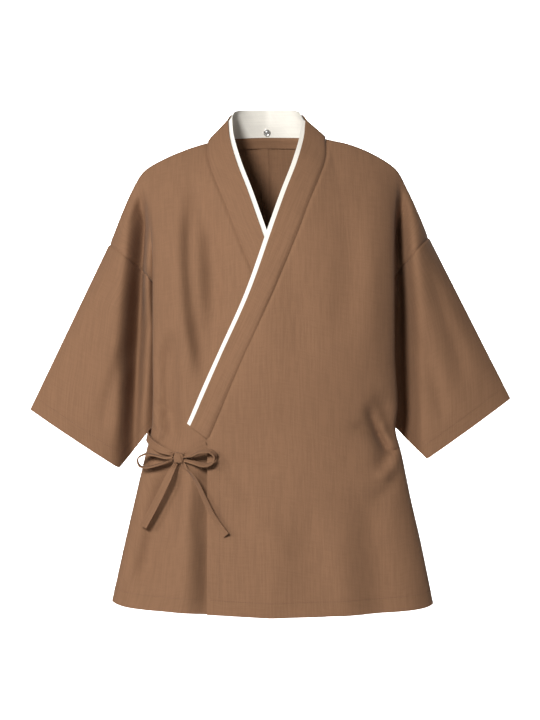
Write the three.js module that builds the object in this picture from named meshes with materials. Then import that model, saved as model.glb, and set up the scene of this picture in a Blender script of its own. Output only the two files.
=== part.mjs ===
// Samue jacket, filled out as when worn: fronts, backs, sleeves, collar with its lining, and the tied bow.
// Millimetres. x runs to the wearer's left, y to the wearer's back, z up.
// Pieces are named for the wearer's sides. In the tables, left and right are those of the front view,
// so left is negative x, and face is -1 for the front and 1 for the back.
// The origin is the middle of the shoulder line, level with the points where the shoulders meet the neck.

import * as THREE from 'three';

// Cloth and seams
const CLOTH = 1.5;
const COLLAR_CLOTH = 2.0;
const LINING_CLOTH = 1.0;
const SEAM_GAP = 0.3;
const SHOULDER_GAP = 0.42;

// Main levels and places
const UNDERARM_Z = -240;
const NECK_CENTRE_X = -5;
const NECK_ACROSS = 0.42;
const RIDGE_ACROSS = 0.74;
const BACK_NECK_Y = 70;
const BACK_NECK_Z = 7;
const FRONT_NECK_Y = -34;

// How the body rounds: larger exponents keep the cloth flat for longer before it turns
const BACK_NECK_ROUNDING = 0.6;
const SECTION_FLATNESS = 1.6;
const CHEST_ROUNDING = 0.85;
const MIDDLE_NARROWING = 3;
const ARMHOLE_NARROWING = 1.5;
const SWELL_SKEW = 0.8;

// Where folds and troughs fade out, as parts of a fold's length, of the way across and of the way down
const FOLD_FADE = 0.25;
const FOLDS_END = 0.8;
const FOLDS_END_FADE = 0.18;
const TROUGH_START = 0.15;
const TROUGH_FADE = 0.1;

// How far each front stands off the common surface where the two overlap
const OVER_LIFT = 3.2;
const UNDER_LIFT = -2.2;
const LIFT_ACROSS = 0.3;
const LIFT_ACROSS_FADE = 0.4;
const LIFT_DOWN = 0.15;
const LIFT_DOWN_FADE = 0.35;

// Sleeves
const ARMHOLE_BULGE = 50;
const CUFF_BULGE = 36;
const CUFF_BACK_RISE = 5;
const UNDERARM_CLEARANCE = 2.6;
const UNDERARM_DROP = 1.2;
const UNDERARM_START = 0.4;
const SHARED_NORMAL_END = 0.35;
const SHARED_NORMAL_FADE = 0.3;

// Collar band
const COLLAR_GAP = 0.45;
const LINING_SHOW = 7;
const LINING_DEPTH = 2.05;
const LINING_START = 0.2;
const LINING_EDGE = 1.2;
const COLLAR_LEAN = 0.87;
const COLLAR_SETTLE = 50;
const COLLAR_SEAM_TURN = 0.35;
const COLLAR_PARTS = [0, 0.35, 0.7, 1];
const FRONT_EDGE = -88.5;

// Ties
const TIE_WIDTH = 11;
const TIE_CLOTH = 2;
const GATHERED_WIDTH = 0.5;
const GATHERED_LENGTH = 0.25;

// Grid of each wall
const YOKE_ROWS = 10;
const CHEST_ROWS = 6;
const SKIRT_ROWS = 8;
const COLLAR_END_ROW = 1.459;
const PANEL_COLUMNS = 20;
const NECK_COLUMNS = 7;
const SLEEVE_ROWS = 13;
const RIBBON_STEPS = 3;
const KNOT_SIDES = 14;
const KNOT_RINGS = 10;
const SNAP_SIDES = 20;

// The half step over which normals are measured, and the halvings of each search
const NORMAL_STEP = 0.004;
const SEARCH_STEPS = 40;

const BROWN = { color: 0x8f6b50, roughness: 0.85, metalness: 0 };
const IVORY = { color: 0xf0ece2, roughness: 0.8, metalness: 0 };
const STEEL = { color: 0xc9c9c6, roughness: 0.35, metalness: 1 };

// Outline of the shoulders from the neck point out to the sleeve seam, x measured outward on both sides
const SHOULDER_LINE = [
  { across: 0.42, leftX: 97, leftZ: -4, rightX: 87, rightZ: 2 },
  { across: 0.55, leftX: 131, leftZ: -15, rightX: 131, rightZ: -9 },
  { across: 0.66, leftX: 168, leftZ: -31, rightX: 170, rightZ: -27 },
  { across: 0.74, leftX: 196, leftZ: -49, rightX: 197, rightZ: -47 },
  { across: 0.82, leftX: 214, leftZ: -78, rightX: 213, rightZ: -76 },
  { across: 0.91, leftX: 232, leftZ: -119, rightX: 230, rightZ: -112 },
  { across: 1.0, leftX: 249, leftZ: -163, rightX: 246, rightZ: -152 },
];

// Level sections of the body: x of the ridge where the cloth turns to the side, x of the side seam,
// and y of the front, the back and the ridge
const BODY_SECTIONS = [
  { z: -240, leftTurn: 178, leftSide: 172, rightTurn: 189, rightSide: 183, front: 112, back: 104, turnY: 62 },
  { z: -341, leftTurn: 178, leftSide: 167, rightTurn: 190, rightSide: 178, front: 116, back: 98, turnY: 60 },
  { z: -410, leftTurn: 178, leftSide: 168, rightTurn: 194, rightSide: 180, front: 114, back: 92, turnY: 55 },
  { z: -447, leftTurn: 180, leftSide: 173, rightTurn: 191, rightSide: 184, front: 113, back: 91, turnY: 53 },
  { z: -480, leftTurn: 188, leftSide: 184, rightTurn: 199, rightSide: 194, front: 115, back: 94, turnY: 55 },
  { z: -558, leftTurn: 206, leftSide: 204, rightTurn: 215, rightSide: 212, front: 122, back: 103, turnY: 62 },
  { z: -620, leftTurn: 220, leftSide: 217, rightTurn: 229, rightSide: 226, front: 130, back: 112, turnY: 68 },
  { z: -716, leftTurn: 241, leftSide: 237, rightTurn: 248, rightSide: 244, front: 140, back: 124, turnY: 75 },
  { z: -726, leftTurn: 243, leftSide: 239, rightTurn: 250, rightSide: 246, front: 141, back: 125, turnY: 76 },
];

// Level of the hem from the left side seam across to the right one, the same on front and back
const HEM_LINE = [
  { across: -1, z: -702 },
  { across: -0.74, z: -705 },
  { across: -0.59, z: -713 },
  { across: -0.45, z: -717 },
  { across: -0.25, z: -722 },
  { across: 0, z: -725 },
  { across: 0.3, z: -723 },
  { across: 0.5, z: -719 },
  { across: 0.62, z: -715 },
  { across: 0.74, z: -709 },
  { across: 1, z: -706 },
];

// Largest folds of the body: x of the fold's line at its top, middle and foot, its half width,
// and how far it sinks into the garment, where a ridge is negative
const BODY_FOLDS = [
  { face: -1, topZ: -50, footZ: -370, topX: -116, middleX: -92, footX: -97, width: 17, depth: 10 },
  { face: -1, topZ: -90, footZ: -420, topX: -150, middleX: -134, footX: -126, width: 18, depth: -5 },
  { face: -1, topZ: -290, footZ: -490, topX: -148, middleX: -152, footX: -140, width: 15, depth: 15 },
  { face: -1, topZ: -490, footZ: -700, topX: -148, middleX: -172, footX: -196, width: 19, depth: 17 },
  { face: -1, topZ: -500, footZ: -760, topX: -124, middleX: -126, footX: -132, width: 18, depth: -8 },
  { face: -1, topZ: -520, footZ: -780, topX: 140, middleX: 158, footX: 168, width: 30, depth: 9 },
  { face: -1, topZ: -380, footZ: -520, topX: 160, middleX: 176, footX: 168, width: 16, depth: 9 },
  { face: 1, topZ: -60, footZ: -400, topX: -120, middleX: -104, footX: -112, width: 20, depth: 11 },
  { face: 1, topZ: -70, footZ: -420, topX: 122, middleX: 108, footX: 116, width: 20, depth: 10 },
  { face: 1, topZ: -430, footZ: -790, topX: -96, middleX: -122, footX: -150, width: 26, depth: 14 },
  { face: 1, topZ: -440, footZ: -790, topX: 90, middleX: 118, footX: 140, width: 26, depth: 13 },
  { face: 1, topZ: -400, footZ: -790, topX: -10, middleX: 6, footX: 16, width: 30, depth: -8 },
];

// Deep troughs between body and sleeve, from each shoulder point down the sleeve's front and back
const ARMPIT_FOLDS = [
  { face: -1, side: -1, topZ: -52, footZ: -620, topX: -197, middleX: -216, footX: -224, width: 15, depth: 46 },
  { face: -1, side: 1, topZ: -52, footZ: -600, topX: 197, middleX: 204, footX: 206, width: 11, depth: 44 },
  { face: 1, side: -1, topZ: -52, footZ: -620, topX: -197, middleX: -212, footX: -222, width: 15, depth: 38 },
  { face: 1, side: 1, topZ: -52, footZ: -620, topX: 197, middleX: 212, footX: 222, width: 15, depth: 38 },
];

// Edges of the collar on the chest, measured from the neck's centre towards the collar's own side
const COLLAR_ON_CHEST = [
  { seamZ: 2, seamX: 92, freeX: 60, freeZ: 31 },
  { seamZ: -29, seamX: 90.5, freeX: 56.5, freeZ: 0 },
  { seamZ: -59, seamX: 81, freeX: 46, freeZ: -38 },
  { seamZ: -103, seamX: 63.5, freeX: 28.5, freeZ: -85 },
  { seamZ: -145, seamX: 48, freeX: 12.8, freeZ: -130 },
  { seamZ: -251, seamX: 4, freeX: -25, freeZ: -238 },
  { seamZ: -348, seamX: -39.8, freeX: -69, freeZ: -336 },
  { seamZ: -463, seamX: -88.5, freeX: -116.3, freeZ: -444 },
];

// The collar's free edge round the neck, from the centre back to the neck point
const COLLAR_ROUND_NECK = [
  { turn: 0.0, x: 0, y: 58, z: 46 },
  { turn: 0.5, x: 38, y: 47, z: 45 },
  { turn: 0.8, x: 55, y: 28, z: 41 },
  { turn: 1.0, x: 60, y: 5, z: 31 },
];

// Sleeve openings: the outer corner, the lower corner and the inner end
const CUFFS = {
  left: { outerX: -371, outerZ: -418, lowX: -232.5, lowZ: -507, innerX: -180, innerZ: -441 },
  right: { outerX: 372, outerZ: -401, lowX: 241, lowZ: -493, innerX: 192, innerZ: -443 },
};

// The knot of the bow, and the routes of its ribbons. across is the direction of the ribbon's width,
// and gathered says which ends are pulled together in the knot.
const KNOT = { x: -137, y: -105, z: -488, halfWidth: 8.5, halfDepth: 6.5, halfHeight: 8.5 };
const RIBBONS = [
  {
    name: 'tie_front',
    across: [-0.45, 0, 0.88],
    gathered: [0, 1],
    route: [[-95.6, -107.5, -467.5], [-106, -107.5, -473], [-118, -105.5, -479], [-129.4, -103.2, -482.7]],
  },
  {
    name: 'tie_side',
    across: [0.1, 0.2, 0.97],
    gathered: [0, 1],
    route: [
      [-181, -22, -449], [-187, -50, -456], [-181, -74, -465], [-166, -93, -475], [-144.9, -103.2, -482.9],
    ],
  },
  {
    name: 'bow_loop_front',
    across: [0.35, 0.8, 0.45],
    gathered: [1, 1],
    route: [
      [-128.8, -107.9, -486.65], [-117, -117, -484], [-104, -123, -478], [-90, -125, -477], [-82, -125, -484],
      [-86, -124, -494], [-97, -122, -498], [-112, -115, -495], [-128.6, -106, -491.2],
    ],
  },
  {
    name: 'bow_loop_side',
    across: [0.1, 0.98, 0.15],
    gathered: [1, 1],
    route: [
      [-146.2, -107.5, -486.7], [-157, -104, -488], [-175, -95, -484], [-189, -89, -483], [-200, -87, -490],
      [-197, -87, -501], [-186, -90, -503], [-173, -96, -500], [-157, -103, -495], [-146.3, -105, -491.8],
    ],
  },
  {
    name: 'bow_tail_side',
    across: [0.88, 0.1, -0.46],
    gathered: [1, 0],
    route: [[-141.4, -105, -495.6], [-158, -102, -529], [-174, -99, -561], [-191, -98.5, -592]],
  },
  {
    name: 'bow_tail_front',
    across: [0.86, -0.1, 0.5],
    gathered: [1, 0],
    route: [
      [-132, -105.6, -495.3], [-112, -115, -520], [-96, -125, -552], [-83, -130, -577], [-65, -134, -602],
    ],
  },
];

const SNAP = { radius: 5.3, height: 1.6, z: 19, clearance: 0.95 };

const clamp = (value, low, high) => Math.min(Math.max(value, low), high);
const mix = (from, to, part) => from + (to - from) * part;
const sideName = (across) => (across < 0 ? 'left' : 'right');
const signOf = (value) => (value < 0 ? -1 : 1);

function ease(part) {
  const k = clamp(part, 0, 1);
  return k * k * (3 - 2 * k);
}

// Reads a column of a table at any place, on a smooth curve through its rows.
function readTable(rows, placeColumn, valueColumn, place) {
  const rising = rows[rows.length - 1][placeColumn] > rows[0][placeColumn];
  let row = 0;
  while (row < rows.length - 2) {
    const next = rows[row + 1][placeColumn];
    if (rising ? place <= next : place >= next) break;
    row += 1;
  }
  const slopeAt = (index) => {
    const before = rows[Math.max(index - 1, 0)];
    const after = rows[Math.min(index + 1, rows.length - 1)];
    return (after[valueColumn] - before[valueColumn]) / (after[placeColumn] - before[placeColumn]);
  };
  const start = rows[row];
  const end = rows[row + 1];
  const span = end[placeColumn] - start[placeColumn];
  const t = clamp((place - start[placeColumn]) / span, 0, 1);
  const startSlope = slopeAt(row) * span;
  const endSlope = slopeAt(row + 1) * span;
  const rise = end[valueColumn] - start[valueColumn];
  const bend = 3 * rise - 2 * startSlope - endSlope;
  const turn = startSlope + endSlope - 2 * rise;
  return start[valueColumn] + t * (startSlope + t * (bend + t * turn));
}

// How far a fold sinks into the garment at a place of its face
function foldDepth(fold, x, z) {
  const t = clamp((fold.topZ - z) / (fold.topZ - fold.footZ), 0, 1);
  const bow = fold.middleX - (fold.topX + fold.footX) / 2;
  const lineX = mix(fold.topX, fold.footX, t) + bow * 4 * t * (1 - t);
  const reach = (x - lineX) / fold.width;
  return fold.depth * Math.exp(-reach * reach) * ease(t / FOLD_FADE) * ease((1 - t) / FOLD_FADE);
}

// The top row of a face: the neck curve between the neck points, and the shoulder line outside them
function topPoint(face, across) {
  const side = sideName(across);
  const part = Math.abs(across);
  if (part >= NECK_ACROSS) {
    const x = signOf(across) * readTable(SHOULDER_LINE, 'across', `${side}X`, part);
    return new THREE.Vector3(x, 0, readTable(SHOULDER_LINE, 'across', `${side}Z`, part));
  }
  const t = part / NECK_ACROSS;
  const neckZ = SHOULDER_LINE[0][`${side}Z`];
  const x = mix(NECK_CENTRE_X, signOf(across) * SHOULDER_LINE[0][`${side}X`], t);
  if (face > 0) {
    const y = BACK_NECK_Y * Math.pow(1 - t * t, BACK_NECK_ROUNDING);
    return new THREE.Vector3(x, y, mix(BACK_NECK_Z, neckZ, t * t));
  }
  return new THREE.Vector3(x, FRONT_NECK_Y * (1 - t * t), neckZ * t);
}

// A level section of the body, without folds
function sectionPoint(face, across, z) {
  const side = sideName(across);
  const part = Math.abs(across);
  const ridgeX = readTable(BODY_SECTIONS, 'z', `${side}Turn`, z);
  const ridgeY = readTable(BODY_SECTIONS, 'z', 'turnY', z);
  if (part <= RIDGE_ACROSS) {
    const depth = readTable(BODY_SECTIONS, 'z', face < 0 ? 'front' : 'back', z);
    const angle = (Math.PI / 2) * Math.pow(part / RIDGE_ACROSS, SECTION_FLATNESS);
    const y = ridgeY + (depth - ridgeY) * Math.cos(angle);
    return new THREE.Vector3(signOf(across) * ridgeX * Math.sin(angle), face * y, z);
  }
  const sideX = readTable(BODY_SECTIONS, 'z', `${side}Side`, z);
  const turn = (part - RIDGE_ACROSS) / (1 - RIDGE_ACROSS);
  const x = sideX + (ridgeX - sideX) * (1 + Math.cos(Math.PI * turn)) / 2;
  return new THREE.Vector3(signOf(across) * x, face * ridgeY * (1 - turn), z);
}

// The body's form without folds. down is 0 on the top row, 1 at the underarm and 2 at the hem.
function bodyForm(face, across, down) {
  const part = Math.abs(across);
  if (down >= 1) {
    const hemZ = readTable(HEM_LINE, 'across', 'z', across);
    return sectionPoint(face, across, mix(UNDERARM_Z, hemZ, down - 1));
  }
  const top = topPoint(face, across);
  const low = sectionPoint(face, across, UNDERARM_Z);
  const outer = ease((part - RIDGE_ACROSS) / (1 - RIDGE_ACROSS));
  const narrowing = 1 - Math.pow(1 - down, mix(MIDDLE_NARROWING, ARMHOLE_NARROWING, outer));
  const rounding = Math.pow(Math.sin((Math.PI / 2) * down), CHEST_ROUNDING);
  const bulge = face * ARMHOLE_BULGE * outer * Math.sin(Math.PI * Math.pow(down, SWELL_SKEW));
  const y = mix(top.y, low.y, rounding) + bulge;
  return new THREE.Vector3(mix(top.x, low.x, narrowing), y, mix(top.z, low.z, down));
}

// The depth of the armpit trough at a place, nothing on the outer edge and fading out towards the underarm
function troughDepth(face, side, x, z, round) {
  const fold = ARMPIT_FOLDS.find((row) => row.face === face && row.side === side);
  return foldDepth(fold, x, z) * ease(round / TROUGH_START) * (1 - Math.pow(round, 3));
}

// The body with its folds
function bodyPoint(face, across, down) {
  const point = bodyForm(face, across, down);
  const part = Math.abs(across);
  const folds = BODY_FOLDS.filter((fold) => fold.face === face);
  const sunk = folds.reduce((sum, fold) => sum + foldDepth(fold, point.x, point.z), 0);
  point.y -= face * sunk * (1 - ease((part - FOLDS_END) / FOLDS_END_FADE));
  if (down < 1 && part > RIDGE_ACROSS) {
    const trough = troughDepth(face, signOf(across), point.x, point.z, down);
    point.y -= face * trough * ease((part - RIDGE_ACROSS) / TROUGH_FADE);
  }
  return point;
}

// The outline of a sleeve opening
function cuffPoint(face, side, round) {
  const cuff = CUFFS[sideName(side)];
  const outer = round <= 0.5;
  const t = outer ? round / 0.5 : (round - 0.5) / 0.5;
  const x = outer ? mix(cuff.outerX, cuff.lowX, t) : mix(cuff.lowX, cuff.innerX, t);
  const z = outer ? mix(cuff.outerZ, cuff.lowZ, t) : mix(cuff.lowZ, cuff.innerZ, t);
  const swell = Math.sin(Math.PI * Math.pow(round, SWELL_SKEW));
  return new THREE.Vector3(x, face * CUFF_BULGE * swell, z + (face > 0 ? CUFF_BACK_RISE * swell : 0));
}

// The sleeve. round is 0 on its outer edge and 1 at the underarm, along is 0 at the armhole and 1 at the
// cuff.
function sleevePoint(face, side, round, along) {
  const armhole = bodyForm(face, side, round);
  const point = armhole.lerp(cuffPoint(face, side, round), along);
  point.y -= face * troughDepth(face, side, point.x, point.z, round);
  return point;
}

// The outward normal of a surface of two parameters, each kept within its own range
function surfaceNormal(surface, u, v, rangeU, rangeV, outward) {
  const at = (a, b) => surface(clamp(a, ...rangeU), clamp(b, ...rangeV));
  const alongU = at(u + NORMAL_STEP, v).sub(at(u - NORMAL_STEP, v));
  const alongV = at(u, v + NORMAL_STEP).sub(at(u, v - NORMAL_STEP));
  return alongU.cross(alongV).multiplyScalar(outward).normalize();
}

function ownBodyNormal(face, across, down) {
  const surface = (a, d) => bodyPoint(face, a, d);
  return surfaceNormal(surface, across, down, [-1, 1], [0, 2], face);
}

function ownSleeveNormal(face, side, round, along) {
  const surface = (r, a) => sleevePoint(face, side, r, a);
  return surfaceNormal(surface, round, along, [0, 1], [0, 1], -face * side);
}

const between = (first, second) => first.clone().add(second).normalize();

// The part of the shared normal that a piece takes on the armhole, all of it near the shoulder
const sharedPart = (round) => 1 - ease((round - SHARED_NORMAL_END) / SHARED_NORMAL_FADE);

// Normals that two pieces share along the shoulder and down the upper half of the armhole
function bodyNormal(face, across, down) {
  const normal = ownBodyNormal(face, across, down);
  const part = Math.abs(across);
  if (down === 0 && part >= NECK_ACROSS) return between(normal, ownBodyNormal(-face, across, 0));
  if (part === 1 && down < 1) {
    const shared = between(normal, ownSleeveNormal(face, across, down, 0));
    return normal.lerp(shared, sharedPart(down)).normalize();
  }
  return normal;
}

function sleeveNormal(face, side, round, along) {
  const normal = ownSleeveNormal(face, side, round, along);
  if (round === 0 || round === 1) {
    const seam = between(normal, ownSleeveNormal(-face, side, round, along));
    return along === 0 && round === 0 ? bodyNormal(face, side, 0) : seam;
  }
  if (along === 0) {
    const shared = between(normal, ownBodyNormal(face, side, round));
    return normal.lerp(shared, sharedPart(round)).normalize();
  }
  return normal;
}

// How far a front stands off the common surface, nothing near its own shoulder and side
function frontLift(ownSide, across, down) {
  const lift = ownSide > 0 ? OVER_LIFT : UNDER_LIFT;
  const inward = 1 - ease((across * ownSide - LIFT_ACROSS) / LIFT_ACROSS_FADE);
  return lift * inward * ease((down - LIFT_DOWN) / LIFT_DOWN_FADE);
}

function frontPoint(ownSide, across, down) {
  const lift = frontLift(ownSide, across, down);
  return bodyPoint(-1, across, down).addScaledVector(bodyNormal(-1, across, down), lift);
}

// The rows of the body from the shoulder to the hem, closer together where the shoulder rounds
function bodyRows() {
  const rows = [];
  for (let i = 0; i < YOKE_ROWS; i += 1) rows.push(1 - Math.cos((Math.PI / 2) * (i / YOKE_ROWS)));
  for (let i = 0; i < CHEST_ROWS; i += 1) rows.push(mix(1, COLLAR_END_ROW, i / CHEST_ROWS));
  for (let i = 0; i <= SKIRT_ROWS; i += 1) rows.push(mix(COLLAR_END_ROW, 2, i / SKIRT_ROWS));
  return rows;
}

const ROWS = bodyRows();
const COLLAR_END_INDEX = YOKE_ROWS + CHEST_ROWS;
const COLUMN_PARTS = Array.from({ length: PANEL_COLUMNS + 1 }, (_, i) => i / PANEL_COLUMNS);

// Solves for where a rising function of across reaches zero.
function solveAcross(difference, low, high) {
  let from = low;
  let to = high;
  for (let i = 0; i < SEARCH_STEPS; i += 1) {
    const middle = (from + to) / 2;
    if (difference(middle) < 0) from = middle;
    else to = middle;
  }
  return (from + to) / 2;
}

// Where a front's row meets the collar seam, or the straight front edge below the collar
function frontEdgeAcross(ownSide, down) {
  if (down === 0) return ownSide * NECK_ACROSS;
  const difference = (across) => {
    const point = bodyForm(-1, across, down);
    const onCollar = down < COLLAR_END_ROW;
    const seamX = onCollar ? readTable(COLLAR_ON_CHEST, 'seamZ', 'seamX', point.z) : FRONT_EDGE;
    return point.x - (NECK_CENTRE_X + ownSide * seamX);
  };
  return solveAcross(difference, -1, 1);
}

// The place on a front's surface straight behind a point of the front view
function frontBehind(ownSide, x, z) {
  const downAt = (across) => {
    const top = topPoint(-1, across).z;
    if (z > UNDERARM_Z) return clamp((top - z) / (top - UNDERARM_Z), 0, 1);
    const hemZ = readTable(HEM_LINE, 'across', 'z', across);
    return 1 + clamp((UNDERARM_Z - z) / (UNDERARM_Z - hemZ), 0, 1);
  };
  const across = solveAcross((a) => bodyForm(-1, a, downAt(a)).x - x, -RIDGE_ACROSS, RIDGE_ACROSS);
  return frontPoint(ownSide, across, downAt(across));
}

// A wall from rows of places, each with a point and an outward normal.
// A closed ring joins its last column to its first.
function wallGeometry(rows, thickness, isRing = false) {
  const columns = rows[0].length;
  const positions = [];
  [1, -1].forEach((face) => {
    rows.flat().forEach(({ point, normal }) => {
      positions.push(...point.clone().addScaledVector(normal, (face * thickness) / 2).toArray());
    });
  });
  const innerStart = rows.length * columns;
  const outer = (row, column) => row * columns + (column % columns);
  const inner = (row, column) => innerStart + outer(row, column);
  const faces = [];
  const quad = (a, b, c, d) => faces.push([a, b, c], [a, c, d]);
  const lastColumn = isRing ? columns : columns - 1;
  for (let row = 0; row < rows.length - 1; row += 1) {
    for (let column = 0; column < lastColumn; column += 1) {
      const next = column + 1;
      quad(outer(row, column), outer(row, next), outer(row + 1, next), outer(row + 1, column));
      quad(inner(row, column), inner(row + 1, column), inner(row + 1, next), inner(row, next));
    }
  }
  const lastRow = rows.length - 1;
  for (let column = 0; column < lastColumn; column += 1) {
    const next = column + 1;
    quad(outer(0, next), outer(0, column), inner(0, column), inner(0, next));
    quad(outer(lastRow, column), outer(lastRow, next), inner(lastRow, next), inner(lastRow, column));
  }
  if (!isRing) {
    for (let row = 0; row < lastRow; row += 1) {
      quad(outer(row, 0), outer(row + 1, 0), inner(row + 1, 0), inner(row, 0));
      const next = row + 1;
      quad(outer(next, lastColumn), outer(row, lastColumn), inner(row, lastColumn), inner(next, lastColumn));
    }
  }
  return solidGeometry(positions, faces);
}

// Makes a geometry with its faces pointing out, whichever way round they were listed.
function solidGeometry(positions, faces) {
  const at = (index) => new THREE.Vector3().fromArray(positions, index * 3);
  const volume = faces.reduce((sum, [a, b, c]) => sum + at(a).dot(at(b).cross(at(c))), 0);
  const indices = faces.flatMap(([a, b, c]) => (volume < 0 ? [a, c, b] : [a, b, c]));
  const geometry = new THREE.BufferGeometry();
  geometry.setAttribute('position', new THREE.Float32BufferAttribute(positions, 3));
  geometry.setIndex(indices);
  geometry.computeVertexNormals();
  return geometry;
}

// Draws a border of a wall back from its seam, along the cloth.
function drawBack(border, inside, distance) {
  border.forEach((place, i) => {
    const direction = inside[i].point.clone().sub(place.point).normalize();
    place.point.addScaledVector(direction, distance);
  });
}

const columnOf = (rows, column) => rows.map((row) => row.at(column));

function frontGeometry(ownSide) {
  const rows = ROWS.map((down) => {
    const edge = frontEdgeAcross(ownSide, down);
    return COLUMN_PARTS.map((part) => {
      const across = part === 1 ? ownSide : mix(edge, ownSide, part);
      return { point: frontPoint(ownSide, across, down), normal: bodyNormal(-1, across, down) };
    });
  });
  drawBack(rows[0], rows[1], SHOULDER_GAP / 2);
  drawBack(columnOf(rows, -1), columnOf(rows, -2), SEAM_GAP / 2);
  return wallGeometry(rows, CLOTH);
}

// The back's columns: across the neck, then the same places as the front's shoulder
function backColumns(side) {
  const turns = Array.from({ length: NECK_COLUMNS }, (_, i) => Math.sin((Math.PI / 2) * (i / NECK_COLUMNS)));
  const onNeck = turns.map((turn) => side * NECK_ACROSS * turn);
  return [...onNeck, ...COLUMN_PARTS.map((part) => side * mix(NECK_ACROSS, 1, part))];
}

function backGeometry(side) {
  const rows = ROWS.map((down) => backColumns(side).map((across) => (
    { point: bodyPoint(1, across, down), normal: bodyNormal(1, across, down) }
  )));
  drawBack(rows[0], rows[1], SHOULDER_GAP / 2);
  drawBack(columnOf(rows, -1), columnOf(rows, -2), SEAM_GAP / 2);
  drawBack(columnOf(rows, 0), columnOf(rows, 1), SEAM_GAP / 2);
  return wallGeometry(rows, CLOTH);
}

function sleeveGeometry(side) {
  const rounds = ROWS.slice(0, YOKE_ROWS + 1);
  const ring = [
    ...rounds.map((round) => ({ face: -1, round })),
    ...rounds.slice(1, -1).reverse().map((round) => ({ face: 1, round })),
  ];
  const rows = Array.from({ length: SLEEVE_ROWS + 1 }, (_, row) => {
    const along = row / SLEEVE_ROWS;
    return ring.map(({ face, round }) => (
      { point: sleevePoint(face, side, round, along), normal: sleeveNormal(face, side, round, along) }
    ));
  });
  drawBack(rows[0], rows[1], SEAM_GAP);
  rows[0].forEach((place, i) => {
    const low = ease((ring[i].round - UNDERARM_START) / UNDERARM_START);
    place.point.addScaledVector(ownBodyNormal(ring[i].face, side, ring[i].round), UNDERARM_CLEARANCE * low);
    place.point.z -= UNDERARM_DROP * low;
  });
  return wallGeometry(rows, CLOTH, true);
}

// The collar's stations: up one front from its end, round the neck, and down the other front
function collarStations() {
  const frontRows = ROWS.slice(0, COLLAR_END_INDEX + 1);
  const onFront = (ownSide) => frontRows.map((down) => ({ ownSide, down }));
  const neck = (side) => backColumns(side).slice(0, NECK_COLUMNS).map((across) => ({ across }));
  return [...onFront(1).reverse(), ...neck(1).reverse(), ...neck(-1).slice(1), ...onFront(-1)];
}

// One station of the collar: its seam on the body, that seam's normal, and its free edge
function collarStation({ ownSide, down, across }) {
  if (ownSide === undefined) {
    const turn = Math.abs(across) / NECK_ACROSS;
    const free = new THREE.Vector3(
      NECK_CENTRE_X + signOf(across) * readTable(COLLAR_ROUND_NECK, 'turn', 'x', turn),
      readTable(COLLAR_ROUND_NECK, 'turn', 'y', turn),
      readTable(COLLAR_ROUND_NECK, 'turn', 'z', turn),
    );
    return { seam: topPoint(1, across), normal: bodyNormal(1, across, 0), free, chest: 0 };
  }
  const edge = frontEdgeAcross(ownSide, down);
  const seam = frontPoint(ownSide, edge, down);
  const freeX = NECK_CENTRE_X + ownSide * readTable(COLLAR_ON_CHEST, 'seamZ', 'freeX', seam.z);
  const freeZ = readTable(COLLAR_ON_CHEST, 'seamZ', 'freeZ', seam.z);
  const neckEdge = COLLAR_ROUND_NECK.at(-1);
  const chest = ease(-freeZ / COLLAR_SETTLE);
  const standingY = neckEdge.y - COLLAR_LEAN * (neckEdge.z - freeZ);
  const freeY = chest > 0 ? mix(standingY, frontBehind(ownSide, freeX, freeZ).y, chest) : standingY;
  const normal = bodyNormal(-1, edge, down);
  return { seam, normal, free: new THREE.Vector3(freeX, freeY, freeZ), chest, ownSide };
}

// The collar as rows of places, one row for each station, from the seam to the free edge and past it
function collarPlaces(widthParts) {
  const stations = collarStations().map(collarStation);
  const rows = stations.map(({ seam, free, chest, ownSide }) => widthParts.map((part) => {
    const point = seam.clone().lerp(free, Math.min(part, 1));
    if (chest > 0) point.y = mix(point.y, frontBehind(ownSide, point.x, point.z).y, chest);
    if (part > 1) point.addScaledVector(free.clone().sub(seam).normalize(), LINING_SHOW);
    return point;
  }));
  return rows.map((points, row) => points.map((point, column) => {
    const before = rows[Math.max(row - 1, 0)][column];
    const after = rows[Math.min(row + 1, rows.length - 1)][column];
    const inner = points[Math.max(column - 1, 0)];
    const outer = points[Math.min(column + 1, points.length - 1)];
    const own = after.clone().sub(before).cross(outer.clone().sub(inner)).normalize();
    return { point, normal: own, seamNormal: stations[row].normal };
  }));
}

function collarGeometry() {
  const rows = collarPlaces(COLLAR_PARTS);
  rows.forEach(([seam]) => seam.normal.lerp(seam.seamNormal, COLLAR_SEAM_TURN).normalize());
  drawBack(columnOf(rows, 0), columnOf(rows, 1), COLLAR_GAP);
  return wallGeometry(rows, COLLAR_CLOTH);
}

function liningGeometry() {
  const rows = collarPlaces([LINING_START, ...COLLAR_PARTS.slice(1), LINING_EDGE]);
  rows.forEach((row) => row.forEach(({ point, normal }) => point.addScaledVector(normal, -LINING_DEPTH)));
  return wallGeometry(rows, LINING_CLOTH);
}

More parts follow.
